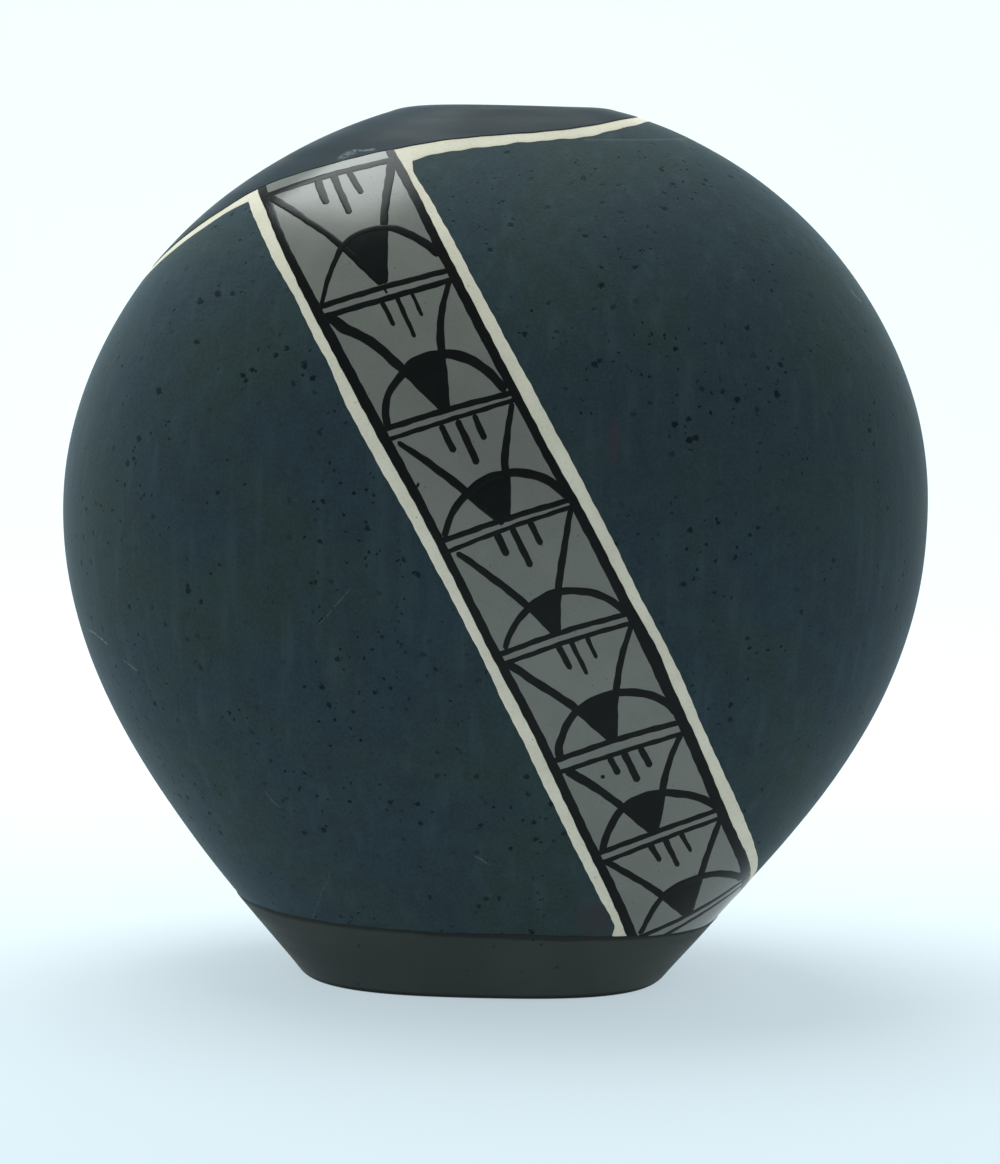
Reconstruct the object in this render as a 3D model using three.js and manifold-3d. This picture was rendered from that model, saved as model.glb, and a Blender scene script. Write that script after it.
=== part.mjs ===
// Canteen vase: a coil-built clay body, flattened front to back, with burnished and painted slips.
// Units are millimetres. +Z is up, -Y is the painted front, the origin is the middle of the resting face.

import * as THREE from 'three';
import { mergeVertices } from 'three/addons/utils/BufferGeometryUtils.js';
import Module from 'manifold-3d';

const wasm = await Module();
wasm.setup();

// Body: overall sizes
const height = 185;
const bellyHeight = 99;

// Body: outlines seen from the front and from the side. Foot, belly and rim are half sizes.
// Angles lean away from the vertical, and the other values are lengths of the curve handles.
const frontOutline = {
  foot: 40.2,
  flankAngle: 36.4,
  flankReach: 29.5,
  bellyDown: 45.1,
  belly: 92,
  bellyUp: 37.9,
  shoulderReach: 45.1,
  shoulderAngle: 76.5,
  rim: 19,
};
const sideOutline = {
  foot: 29.5,
  flankAngle: 24,
  flankReach: 30,
  bellyDown: 40,
  belly: 54,
  bellyUp: 42,
  shoulderReach: 34,
  shoulderAngle: 50,
  rim: 12,
};
const sectionPower = 2.3;

// Clay thicknesses, the foot and the mouth
const wall = 5;
const floorThickness = 7;
const floorFillet = 6;
const footRound = 2;
const mouthHalfWidth = 14;
const mouthHalfDepth = 8.2;
const lipRound = 1.2;

// Clay pieces: the pressed base, the coils stacked on it and the lip coil that closes the neck
const baseHeight = 20;
const lipHeight = 7;
const coilsBelowBelly = 3;
const coilsAboveBelly = 4;

// Slip coats, let into the wall, the gap that keeps each coat clear of its neighbours,
// and the clay left bare between a bed and the rounded edges of the foot and the lip
const slipThickness = 0.8;
const bandThickness = 0.6;
const paintThickness = 0.4;
const bedGap = 0.3;
const bareEdge = 0.3;

// Collar: its lower edge drops towards the left, measured below the rim
const collarLeft = { x: -78, drop: 39.8 };
const collarBend = { x: -50, drop: 7 };
const collarRight = { x: 35, drop: 2.4 };

// Foot coat: its upper edge is a straight line that falls a little towards the right
const footCoatLeft = { x: -60, z: 17.2 };
const footCoatRight = { x: 60, z: 13.6 };

// Band: its centre line runs down the front; w is the distance round the wall from the front centre
const bandTop = { w: -36.5, drop: 16.3 };
const bandBottom = { w: 45.7, z: 20 };
const bandBulge = 2.3;
const bandTilt = 17.5;
const bandInnerWidth = 25.4;
const frameWidth = 2.25;

// The band runs on past both of its ends, so that the collar and the foot coat cut it off.
const bandRunOnTop = 12;
const bandRunOnBottom = 16;

// Painted pattern inside the band: lengths of the seven panels, compared with each other
const panelWeights = [31.9, 25.9, 22.1, 23.6, 22.9, 20.7, 22.1];
const topStripWidth = 1.5;
const stripWidth = 2.2;
const crossLineWidth = 1.15;
const diagonalWidth = 1.25;
const arcWidth = 1.4;
const rainWidth = 1.5;
const rainTipWidth = 0.75;

// One panel's figure. Each pair is the share across the panel and the share down it.
const tip = [0.46, 1];
const leftShoulder = [0.34, 0.62];
const rightShoulder = [0.67, 0.57];
const arcCrown = [0.5, 0.57];
const leftDiagonal = [[-0.01, 0.02], [0.19, 0.3], leftShoulder, tip];
const rightDiagonal = [[1.01, 0.01], [0.81, 0.28], rightShoulder, tip];
const cloudArc = [[0.02, 1], [0.14, 0.8], [0.3, 0.65], arcCrown, [0.7, 0.6], [0.87, 0.72], [1, 0.94]];
const rainStrokes = [
  { across: 0.4, length: 0.22 },
  { across: 0.53, length: 0.38 },
  { across: 0.67, length: 0.23 },
];
const rainTaperFrom = 0.85;
const wedgeTop = [leftShoulder, arcCrown, rightShoulder];
const wedgeReach = 0.95;

// Cream line: it frames the matt field beside the band and under the collar
const creamWidth = 3;
const creamCollarWidth = 1.8;

// Facets
const columns = 32;
const coilRows = 2;
const baseRows = 2;
const lipRows = 2;
const roundSteps = 2;
const bandStep = 12;
const collarSteps = 8;
const crossSteps = 3;
const diagonalSteps = 3;
const arcSteps = 6;
const leastRow = 0.5;

// Samples for measuring curves, how far outlines run on past their ends, and the cutters' reach
const outlineSamples = 120;
const lengthSamples = 400;
const roundSamples = 240;
const bandSamples = 200;
const bandSearchStep = 0.25;
const outlineRunOn = 25;
const cutterDepth = 3;
const reach = 2 * height;

const degrees = Math.PI / 180;
const lipSeam = height - lipHeight;
const collarTop = height - lipRound - bareEdge - bedGap;
const footCoatBottom = footRound + bareEdge + bedGap;
const bandHalf = bandInnerWidth / 2 + frameWidth;
const coatBed = slipThickness + bedGap;
const bandSurface = paintThickness + bedGap;
const bandBed = bandSurface + bandThickness + bedGap;

const clay = { color: 0x2c3a40, roughness: 0.85 };
const burnished = { color: 0x323d44, roughness: 0.3 };
const footColour = { color: 0x2f3736, roughness: 0.35 };
const greySlip = { color: 0x6a716c, roughness: 0.4 };
const creamSlip = { color: 0xb9bfa6, roughness: 0.8 };
const blackPaint = { color: 0x0e1413, roughness: 0.45 };

// Outline from foot to rim: a flank curve and a shoulder curve that meet upright at the belly.
function outlineCurves(outline) {
  const { foot, belly, rim } = outline;
  const out = outline.flankAngle * degrees;
  const back = outline.shoulderAngle * degrees;
  const flank = new THREE.CubicBezierCurve(
    new THREE.Vector2(foot, 0),
    new THREE.Vector2(foot + outline.flankReach * Math.sin(out), outline.flankReach * Math.cos(out)),
    new THREE.Vector2(belly, bellyHeight - outline.bellyDown),
    new THREE.Vector2(belly, bellyHeight),
  );
  const shoulder = new THREE.CubicBezierCurve(
    new THREE.Vector2(belly, bellyHeight),
    new THREE.Vector2(belly, bellyHeight + outline.bellyUp),
    new THREE.Vector2(
      rim + outline.shoulderReach * Math.sin(back),
      height - outline.shoulderReach * Math.cos(back),
    ),
    new THREE.Vector2(rim, height),
  );
  return [flank, shoulder];
}

const frontCurves = outlineCurves(frontOutline);
const sideCurves = outlineCurves(sideOutline);

// Points of an outline moved inwards along its normals, run on in a straight line past both ends.
function insetOutline(curves, inset) {
  const points = [];
  for (const curve of curves) {
    for (let i = 0; i <= outlineSamples; i += 1) {
      const point = curve.getPoint(i / outlineSamples);
      const tangent = curve.getTangent(i / outlineSamples);
      points.push({ x: point.x - inset * tangent.y, z: point.y + inset * tangent.x });
    }
  }
  const below = curves[0].getTangent(0);
  const above = curves[1].getTangent(1);
  const first = points[0];
  const last = points[points.length - 1];
  points.unshift({ x: first.x - outlineRunOn * below.x, z: first.z - outlineRunOn * below.y });
  points.push({ x: last.x + outlineRunOn * above.x, z: last.z + outlineRunOn * above.y });
  return points;
}

const insetCache = new Map();

function halfSize(curves, z, inset) {
  if (!insetCache.has(curves)) insetCache.set(curves, new Map());
  const cache = insetCache.get(curves);
  if (!cache.has(inset)) cache.set(inset, insetOutline(curves, inset));
  const points = cache.get(inset);
  let i = 1;
  while (i < points.length - 1 && points[i].z < z) i += 1;
  const a = points[i - 1];
  const b = points[i];
  const share = b.z === a.z ? 0 : (z - a.z) / (b.z - a.z);
  return a.x + share * (b.x - a.x);
}

// Half-width and half-depth of the level section at a height, that far inside the outer surface.
function section(z, inset = 0, shrink = 0) {
  return {
    a: halfSize(frontCurves, z, inset) - shrink,
    b: halfSize(sideCurves, z, inset) - shrink,
  };
}

// The hollow's section: the wall's inner face, but never narrower than the mouth.
function hollowSection(z, shrink = 0) {
  const { a, b } = section(z, wall, shrink);
  return { a: Math.max(a, mouthHalfWidth), b: Math.max(b, mouthHalfDepth) };
}

function ovalPoint({ a, b }, angle) {
  const c = Math.cos(angle);
  const s = Math.sin(angle);
  return new THREE.Vector2(
    a * Math.sign(c) * Math.abs(c) ** (2 / sectionPower),
    b * Math.sign(s) * Math.abs(s) ** (2 / sectionPower),
  );
}

// A level ring of points, with its four quarter points exactly on the axes.
function ring(size, z) {
  const points = [];
  for (let i = 0; i < columns; i += 1) {
    const p = ovalPoint(size, (i / columns) * 2 * Math.PI);
    const x = i % (columns / 2) === columns / 4 ? 0 : p.x;
    const y = i % (columns / 2) === 0 ? 0 : p.y;
    points.push([x, y, z]);
  }
  return points;
}

function geometryFrom(vertices, triangles) {
  const geometry = new THREE.BufferGeometry();
  geometry.setAttribute('position', new THREE.Float32BufferAttribute(vertices.flat(), 3));
  geometry.setIndex(triangles.flat());
  return geometry;
}

// Solid whose surface runs through the rings in turn. A closed loop of rings makes a hoop,
// an open one is capped flat at its first and last ring.
function ringSolid(rings, loop) {
  const vertices = rings.flat();
  const triangles = [];
  const spans = loop ? rings.length : rings.length - 1;
  for (let i = 0; i < spans; i += 1) {
    const low = i * columns;
    const high = ((i + 1) % rings.length) * columns;
    for (let j = 0; j < columns; j += 1) {
      const k = (j + 1) % columns;
      triangles.push([low + j, low + k, high + k], [low + j, high + k, high + j]);
    }
  }
  if (!loop) {
    const last = (rings.length - 1) * columns;
    const start = vertices.length;
    vertices.push([0, 0, rings[0][0][2]], [0, 0, rings[rings.length - 1][0][2]]);
    for (let j = 0; j < columns; j += 1) {
      const k = (j + 1) % columns;
      triangles.push([k, j, start], [last + j, last + k, start + 1]);
    }
  }
  return geometryFrom(vertices, triangles);
}

function solidFrom(geometry) {
  const bare = geometry.clone();
  bare.deleteAttribute('normal');
  bare.deleteAttribute('uv');
  const merged = mergeVertices(bare, 1e-4);
  return new wasm.Manifold(new wasm.Mesh({
    numProp: 3,
    vertProperties: new Float32Array(merged.attributes.position.array),
    triVerts: new Uint32Array(merged.index.array),
  }));
}

function geometryOf(solid) {
  const mesh = solid.getMesh();
  const geometry = new THREE.BufferGeometry();
  geometry.setAttribute('position', new THREE.Float32BufferAttribute(mesh.vertProperties, 3));
  geometry.setIndex(new THREE.Uint32BufferAttribute(mesh.triVerts, 1));
  return geometry;
}

const union = (solids) => solids.reduce((sum, solid) => sum.add(solid));

// Heights that cut the front outline between two heights into stretches of equal length.
function evenHeights(from, to, count) {
  const lengths = [0];
  const at = (i) => from + ((to - from) * i) / lengthSamples;
  for (let i = 1; i <= lengthSamples; i += 1) {
    const run = section(at(i)).a - section(at(i - 1)).a;
    lengths.push(lengths[i - 1] + Math.hypot(run, at(1) - at(0)));
  }
  const heights = [from];
  for (let k = 1; k < count; k += 1) {
    const share = (lengths[lengthSamples] * k) / count;
    heights.push(at(lengths.findIndex((length) => length >= share)));
  }
  heights.push(to);
  return heights;
}

// The coils meet at a seam on the widest height.
const seams = [
  ...evenHeights(baseHeight, bellyHeight, coilsBelowBelly),
  ...evenHeights(bellyHeight, lipSeam, coilsAboveBelly).slice(1),
];
const coilHeights = seams.slice(1).map((top, i) => evenHeights(seams[i], top, coilRows));
const baseHeights = evenHeights(footRound, baseHeight, baseRows);
const lipHeights = evenHeights(lipSeam, height - lipRound, lipRows);

// Every row height of the outer surface, shared by the clay and all the coats on it.
const coilRowHeights = coilHeights.flatMap((rows) => rows.slice(1));
const rowHeights = [...baseHeights, ...coilRowHeights, ...lipHeights.slice(1)];

function quarterRound(radius) {
  return Array.from({ length: roundSteps }, (_, i) => {
    const angle = ((i + 1) / roundSteps) * (Math.PI / 2);
    return { rise: radius * Math.sin(angle), shrink: radius * (1 - Math.cos(angle)) };
  });
}

// Shell between two depths below the outer surface, cut level at both ends.
function shell(outer, inner, low, high) {
  const between = rowHeights.filter((z) => z > low + leastRow && z < high - leastRow);
  const heights = [low, ...between, high];
  const outside = heights.map((z) => ring(section(z, outer), z));
  const inside = heights.map((z) => ring(section(z, inner), z)).reverse();
  return solidFrom(ringSolid([...outside, ...inside], true));
}

// Clay pieces
function baseSlab() {
  const edge = quarterRound(footRound).reverse().map(({ rise, shrink }) => (
    ring(section(footRound - rise, 0, shrink), footRound - rise)));
  const outside = baseHeights.map((z) => ring(section(z), z));
  const insideTop = [baseHeight, floorThickness + floorFillet];
  const inside = insideTop.map((z) => ring(hollowSection(z), z));
  const fillet = quarterRound(floorFillet).map(({ rise, shrink }) => {
    const z = floorThickness + floorFillet - rise;
    return ring(hollowSection(z, shrink), z);
  });
  return solidFrom(ringSolid([...edge, ...outside, ...inside, ...fillet], false));
}

function wallCoil(heights) {
  const outside = heights.map((z) => ring(section(z), z));
  const inside = heights.map((z) => ring(hollowSection(z), z)).reverse();
  return solidFrom(ringSolid([...outside, ...inside], true));
}

function lipCoil() {
  const edge = quarterRound(lipRound);
  const outside = lipHeights.map((z) => ring(section(z), z));
  const over = edge.map(({ rise, shrink }) => {
    const z = height - lipRound + rise;
    return ring(section(z, 0, shrink), z);
  });
  const mouth = { a: mouthHalfWidth, b: mouthHalfDepth };
  const grown = (by) => ({ a: mouth.a + by, b: mouth.b + by });
  const into = [...edge].reverse().map(({ rise, shrink }) => (
    ring(grown(shrink), height - lipRound + rise)));
  const inside = [...lipHeights].reverse().map((z) => ring(hollowSection(z), z));
  return solidFrom(ringSolid([...outside, ...over, ...into, ...inside], true));
}

// Point of the outer surface at a distance round the wall from the front centre, and its outward normal.
function wallPoint(w, z) {
  const size = section(z);
  const side = w < 0 ? -1 : 1;
  let here = ovalPoint(size, -Math.PI / 2);
  let gone = 0;
  for (let i = 1; i <= roundSamples; i += 1) {
    const next = ovalPoint(size, -Math.PI / 2 + side * (i / roundSamples) * Math.PI);
    const length = here.distanceTo(next);
    if (gone + length >= Math.abs(w)) {
      here.lerp(next, (Math.abs(w) - gone) / length);
      return new THREE.Vector3(here.x, here.y, z);
    }
    gone += length;
    here = next;
  }
  return new THREE.Vector3(here.x, here.y, z);
}

function wallNormal(w, z) {
  const step = 1;
  const round = wallPoint(w + step, z).sub(wallPoint(w - step, z));
  const up = wallPoint(w, z + step).sub(wallPoint(w, z - step));
  return round.cross(up).normalize();
}

// Slab that stands through the wall: a net of wall places pushed outwards and pushed inwards.
function standingSlab(net) {
  const places = net.flat();
  const vertices = [cutterDepth, -cutterDepth].flatMap((out) => (
    places.map(({ point, normal }) => point.clone().addScaledVector(normal, out).toArray())));
  return solidFrom(geometryFrom(vertices, netTriangles(net.length, net[0].length)));
}

// Cutter over a net of wall places, given row by row.
function patchCutter(net) {
  return standingSlab(net.map((row) => row.map(({ w, z }) => (
    { point: wallPoint(w, z), normal: wallNormal(w, z) }))));
}

// Triangles of a closed slab: two nets of points, outer then inner, joined round their edge.
function netTriangles(rows, across) {
  const triangles = [];
  const inner = rows * across;
  const quad = (p, q, r, s) => triangles.push([p, q, r], [p, r, s]);
  for (let i = 0; i + 1 < rows; i += 1) {
    for (let j = 0; j + 1 < across; j += 1) {
      const p = i * across + j;
      quad(p, p + across, p + across + 1, p + 1);
      quad(inner + p, inner + p + 1, inner + p + across + 1, inner + p + across);
    }
  }
  const rim = [];
  for (let j = 0; j + 1 < across; j += 1) rim.push(j);
  for (let i = 0; i + 1 < rows; i += 1) rim.push(i * across + across - 1);
  for (let j = across - 1; j > 0; j -= 1) rim.push((rows - 1) * across + j);
  for (let i = rows - 1; i > 0; i -= 1) rim.push(i * across);
  rim.forEach((p, n) => {
    const q = rim[(n + 1) % rim.length];
    quad(p, q, inner + q, inner + p);
  });
  return triangles;
}

// Cutter for a painted line that follows a path of wall places, with a width at each place.
function strokeCutter(path, widths) {
  const centres = path.map(({ w, z }) => wallPoint(w, z));
  return standingSlab(centres.map((centre, i) => {
    const before = centres[Math.max(i - 1, 0)];
    const after = centres[Math.min(i + 1, centres.length - 1)];
    const normal = wallNormal(path[i].w, path[i].z);
    const across = normal.clone().cross(after.clone().sub(before)).normalize();
    return [-widths[i] / 2, widths[i] / 2].map((side) => (
      { point: centre.clone().addScaledVector(across, side), normal }));
  }));
}

function evenStroke(path, width) {
  return strokeCutter(path, path.map(() => width));
}

// The band's centre line, measured in true length along the wall from its top point.
const bandStart = new THREE.Vector2(bandTop.w, height - bandTop.drop);
const bandEnd = new THREE.Vector2(bandBottom.w, bandBottom.z);
const bandPull = bandStart.clone().lerp(bandEnd, 0.5).add(new THREE.Vector2(2 * bandBulge, 0));
const bandCurve = new THREE.QuadraticBezierCurve(bandStart, bandPull, bandEnd);

function centreAt(share) {
  const held = THREE.MathUtils.clamp(share, 0, 1);
  const beyond = share - held;
  const slope = bandCurve.getTangent(held).multiplyScalar(beyond * bandCurve.getLength());
  return bandCurve.getPoint(held).add(slope);
}

function bandDistances() {
  const places = Array.from({ length: bandSamples + 1 }, (_, i) => centreAt(i / bandSamples));
  const points = places.map((place) => wallPoint(place.x, place.y));
  const distances = [0];
  for (let i = 1; i <= bandSamples; i += 1) {
    distances.push(distances[i - 1] + points[i].distanceTo(points[i - 1]));
  }
  return distances;
}

const distancesDown = bandDistances();
const bandLength = distancesDown[bandSamples];

function shareAt(distance) {
  if (distance <= 0 || distance >= bandLength) return distance / bandLength;
  const i = distancesDown.findIndex((length) => length >= distance);
  const within = (distance - distancesDown[i - 1]) / (distancesDown[i] - distancesDown[i - 1]);
  return (i - 1 + within) / bandSamples;
}

// Wall place that lies a distance down the band and a distance across it.
function bandPlace(distance, across) {
  const centre = centreAt(shareAt(distance));
  return {
    w: centre.x + across * Math.cos(bandTilt * degrees),
    z: centre.y + across * Math.sin(bandTilt * degrees),
  };
}

// Edge lines of the collar and the foot coat, seen from the front, from far left to far right.
function collarEdgeLine() {
  const curve = new THREE.QuadraticBezierCurve(
    new THREE.Vector2(collarLeft.x, height - collarLeft.drop),
    new THREE.Vector2(collarBend.x, height - collarBend.drop),
    new THREE.Vector2(collarRight.x, height - collarRight.drop),
  );
  const farLeft = new THREE.Vector2(-reach, height - collarLeft.drop);
  const farRight = new THREE.Vector2(reach, height - collarRight.drop);
  return [farLeft, ...curve.getPoints(collarSteps), farRight];
}

function footEdgeLine() {
  const slope = (footCoatRight.z - footCoatLeft.z) / (footCoatRight.x - footCoatLeft.x);
  return [-reach, reach].map((x) => new THREE.Vector2(x, footCoatLeft.z + slope * (x - footCoatLeft.x)));
}

const collarLine = collarEdgeLine();
const footLine = footEdgeLine();

function lineHeight(line, x) {
  const i = line.findIndex((point) => point.x > x);
  const share = (x - line[i - 1].x) / (line[i].x - line[i - 1].x);
  return THREE.MathUtils.lerp(line[i - 1].y, line[i].y, share);
}

// Solid of everything between an edge line, raised by a rise, and a far level, front to back.
function zoneBeyond(line, rise, farLevel) {
  const edge = line.map((point) => new THREE.Vector2(point.x, point.y + rise));
  const corners = [reach, -reach].map((x) => new THREE.Vector2(x, farLevel));
  const shape = new THREE.Shape([...edge, ...corners]);
  const geometry = new THREE.ExtrudeGeometry(shape, { depth: 2 * reach, bevelEnabled: false });
  geometry.rotateX(Math.PI / 2);
  geometry.translate(0, reach, 0);
  return solidFrom(geometry);
}

const collarZone = (grow) => zoneBeyond(collarLine, -grow, height + reach);
const footZone = (grow) => zoneBeyond(footLine, grow, -reach);

// Distance down the band at which a line right across it first lies clear under the collar.
function clearOfCollar() {
  const isClear = (distance) => [-bandHalf, 0, bandHalf].every((across) => {
    const { w, z } = bandPlace(distance, across);
    return z < lineHeight(collarLine, wallPoint(w, z).x) - bedGap;
  });
  let distance = -bandRunOnTop;
  while (!isClear(distance)) distance += bandSearchStep;
  return distance;
}

// Strip of the band between two distances across it, as long as the whole band.
function bandStrip(from, to) {
  const length = bandRunOnTop + bandLength + bandRunOnBottom;
  const rows = Math.ceil(length / bandStep);
  const spans = Math.ceil((to - from) / bandStep);
  const net = [];
  for (let i = 0; i <= rows; i += 1) {
    const distance = (length * i) / rows - bandRunOnTop;
    const row = Array.from({ length: spans + 1 }, (_, j) => from + ((to - from) * j) / spans);
    net.push(row.map((across) => bandPlace(distance, across)));
  }
  return patchCutter(net);
}

const bandZone = (grow) => bandStrip(-bandHalf - grow, bandHalf + grow);

// Cream frames the matt field under the collar and beside the band. The band covers its middle.
function creamZone(grow) {
  const far = bandHalf + bedGap + creamWidth + grow;
  const underCollar = collarZone(bedGap + creamCollarWidth + grow).subtract(collarZone(bedGap - grow));
  return union([underCollar, bandStrip(-far, far)]);
}

// Painted pattern
function panelPlace(start, length) {
  return ([across, down]) => bandPlace(start + down * length, (across - 0.5) * bandInnerWidth);
}

function crossLine(distance) {
  const half = bandHalf - frameWidth / 2;
  const path = Array.from({ length: crossSteps + 1 }, (_, i) => (
    bandPlace(distance, half * ((2 * i) / crossSteps - 1))));
  return evenStroke(path, crossLineWidth);
}

function smoothLine(shares, place, steps, width) {
  const curve = new THREE.SplineCurve(shares.map(([across, down]) => new THREE.Vector2(across, down)));
  return evenStroke(curve.getPoints(steps).map((p) => place([p.x, p.y])), width);
}

// The filled wedge between the diagonals, from the cloud arc nearly down to the tip.
function wedge(place) {
  const lerp = THREE.MathUtils.lerp;
  const nearTip = wedgeTop.map((share) => share.map((value, i) => lerp(value, tip[i], wedgeReach)));
  return patchCutter([wedgeTop.map(place), nearTip.map(place)]);
}

function rain(place, { across, length }) {
  const path = [0, rainTaperFrom, 1].map((share) => place([across, share * length]));
  return strokeCutter(path, [rainWidth, rainWidth, rainTipWidth]);
}

function panelFigure(place) {
  return [
    smoothLine(leftDiagonal, place, diagonalSteps, diagonalWidth),
    smoothLine(rightDiagonal, place, diagonalSteps, diagonalWidth),
    smoothLine(cloudArc, place, arcSteps, arcWidth),
    wedge(place),
    ...rainStrokes.map((stroke) => rain(place, stroke)),
  ];
}

function linework() {
  const patternStart = clearOfCollar() + topStripWidth;
  const strips = panelWeights.length - 1;
  const weightSum = panelWeights.reduce((sum, weight) => sum + weight);
  const scale = (bandLength - patternStart - strips * stripWidth) / weightSum;
  const parts = [bandStrip(-bandHalf, -bandInnerWidth / 2), bandStrip(bandInnerWidth / 2, bandHalf)];
  let start = patternStart;
  for (const weight of panelWeights) {
    const length = weight * scale;
    parts.push(crossLine(start), crossLine(start + length), ...panelFigure(panelPlace(start, length)));
    start += length + stripWidth;
  }
  return union([...parts, crossLine(start)]);
}

// Coats, kept apart by the bedding gap
const coatShell = (outer, inner) => shell(outer, inner, footCoatBottom, collarTop);
const offCollarAndFoot = collarZone(bedGap).add(footZone(bedGap));
const wideBand = bandZone(bedGap);
const slipCoat = coatShell(0, slipThickness);
const collarSlip = slipCoat.intersect(collarZone(0));
const footSlip = slipCoat.intersect(footZone(0));
const creamLine = slipCoat.intersect(creamZone(0)).subtract(offCollarAndFoot).subtract(wideBand);
const bandCoat = coatShell(bandSurface, bandSurface + bandThickness);
const bandSlip = bandCoat.intersect(bandZone(0)).subtract(offCollarAndFoot);
const bandLinework = coatShell(0, paintThickness).intersect(linework()).subtract(offCollarAndFoot);

// Beds cut into the clay for the coats
const bedShell = (depth) => shell(-cutterDepth, depth, footCoatBottom - bedGap, collarTop + bedGap);
const coatedZones = union([collarZone(bedGap), footZone(bedGap), creamZone(bedGap)]);
const beds = bedShell(coatBed).intersect(coatedZones).add(bedShell(bandBed).intersect(wideBand));

const vase = new THREE.Group();

function addPiece(name, solid, { color, roughness }) {
  const material = new THREE.MeshStandardMaterial({ color, roughness, metalness: 0 });
  const mesh = new THREE.Mesh(geometryOf(solid), material);
  mesh.name = name;
  vase.add(mesh);
}

addPiece('base_slab', baseSlab().subtract(beds), clay);
coilHeights.forEach((heights, i) => addPiece(`wall_coil_${i + 1}`, wallCoil(heights).subtract(beds), clay));
addPiece('lip_coil', lipCoil().subtract(beds), burnished);
addPiece('collar_slip', collarSlip, burnished);
addPiece('foot_slip', footSlip, footColour);
addPiece('band_slip', bandSlip, greySlip);
addPiece('cream_line', creamLine, creamSlip);
addPiece('band_linework', bandLinework, blackPaint);

export default vase;
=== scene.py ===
# %% [markdown]
# # A coil-built canteen vase
#
# The real pot is one wall of fired clay, flat like a canteen, about 185 mm high. Its maker pressed a base,
# stacked coils on it, scraped the wall smooth, and then laid on the finishes: a burnished collar and foot,
# a grey slip band with black brush lines, and a cream line round the matt field.
#
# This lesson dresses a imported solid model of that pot. Each step first says what the piece is on the real
# object, how it could be made in Blender, and why it is made this way here.

# %% Load the solid model
import math
from functools import reduce
from operator import or_

import bpy
import numpy as np
from mathutils import Matrix, Vector


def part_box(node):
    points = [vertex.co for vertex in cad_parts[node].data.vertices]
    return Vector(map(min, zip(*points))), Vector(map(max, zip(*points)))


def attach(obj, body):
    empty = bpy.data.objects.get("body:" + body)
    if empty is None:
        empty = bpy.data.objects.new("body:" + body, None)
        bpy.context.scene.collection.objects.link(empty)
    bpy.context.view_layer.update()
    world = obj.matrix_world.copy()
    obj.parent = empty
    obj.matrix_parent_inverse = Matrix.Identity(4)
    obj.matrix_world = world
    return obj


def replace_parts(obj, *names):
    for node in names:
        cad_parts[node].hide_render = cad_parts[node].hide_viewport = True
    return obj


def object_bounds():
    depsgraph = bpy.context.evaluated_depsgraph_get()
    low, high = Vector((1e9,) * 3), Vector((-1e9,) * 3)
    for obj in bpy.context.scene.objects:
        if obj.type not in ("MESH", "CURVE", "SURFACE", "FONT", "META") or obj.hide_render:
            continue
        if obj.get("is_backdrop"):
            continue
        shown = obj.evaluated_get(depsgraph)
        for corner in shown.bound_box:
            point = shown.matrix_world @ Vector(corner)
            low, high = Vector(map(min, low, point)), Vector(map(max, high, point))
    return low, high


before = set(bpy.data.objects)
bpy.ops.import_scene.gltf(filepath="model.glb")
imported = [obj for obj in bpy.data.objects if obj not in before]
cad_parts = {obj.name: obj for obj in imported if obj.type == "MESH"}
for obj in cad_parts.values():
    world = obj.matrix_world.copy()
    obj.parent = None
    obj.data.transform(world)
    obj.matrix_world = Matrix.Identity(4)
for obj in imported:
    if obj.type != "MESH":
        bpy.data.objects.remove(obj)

MM = 0.001
cad_low, cad_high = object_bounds()
print("solid model, mm:", [round((high - low) / MM, 1) for low, high in zip(cad_low, cad_high)])

# %% [markdown]
# ## The outline of the wall
#
# Everything on this pot lies on one curved wall, so the wall is written once, as a formula. A subdivided
# cage could be sculpted to the same shape, but then no painted line could be placed on it exactly.
#
# The wall is a pile of level ovals. Their half widths follow the outline seen from the front, and their half
# depths the outline seen from the side. Each outline is two curves that meet upright at the belly. They are
# the ones the solid model was drawn with, and the overall sizes come from the solid model itself. Sizes are
# in millimetres, and the outline's angles in degrees.

# %% Measures of the outline
HEIGHT = cad_high.z / MM
HALF_WIDTH = cad_high.x / MM
HALF_DEPTH = cad_high.y / MM
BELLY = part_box("wall_coil_4")[0].z / MM
OVAL_POWER = 2.3

FRONT_OUTLINE = dict(foot=40.2, foot_angle=36.4, foot_reach=29.5, belly_down=45.1, belly=HALF_WIDTH,
                     belly_up=37.9, rim_reach=45.1, rim_angle=76.5, rim=19.0)
SIDE_OUTLINE = dict(foot=29.5, foot_angle=24.0, foot_reach=30.0, belly_down=40.0, belly=HALF_DEPTH,
                    belly_up=42.0, rim_reach=34.0, rim_angle=50.0, rim=12.0)
print("height, width and depth, mm:", round(HEIGHT, 1), round(2 * HALF_WIDTH, 1), round(2 * HALF_DEPTH, 1))


# %% Outline of the wall
def bezier(start, pull, push, end, count=500):
    """Points along a curve that leaves its start towards pull and reaches its end from push."""
    t = np.linspace(0, 1, count)[:, None]
    start, pull, push, end = (np.array(point, float) for point in (start, pull, push, end))
    return (1 - t) ** 3 * start + 3 * (1 - t) ** 2 * t * pull + 3 * (1 - t) * t**2 * push + t**3 * end


def outline(foot, foot_angle, foot_reach, belly_down, belly, belly_up, rim_reach, rim_angle, rim):
    """Points (half size, height) from the foot up to the rim."""
    out, back = math.radians(foot_angle), math.radians(rim_angle)
    leaving = (foot + foot_reach * math.sin(out), foot_reach * math.cos(out))
    flank = bezier((foot, 0), leaving, (belly, BELLY - belly_down), (belly, BELLY))
    over = (rim + rim_reach * math.sin(back), HEIGHT - rim_reach * math.cos(back))
    shoulder = bezier((belly, BELLY), (belly, BELLY + belly_up), over, (rim, HEIGHT))
    return np.vstack([flank, shoulder[1:]])


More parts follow.
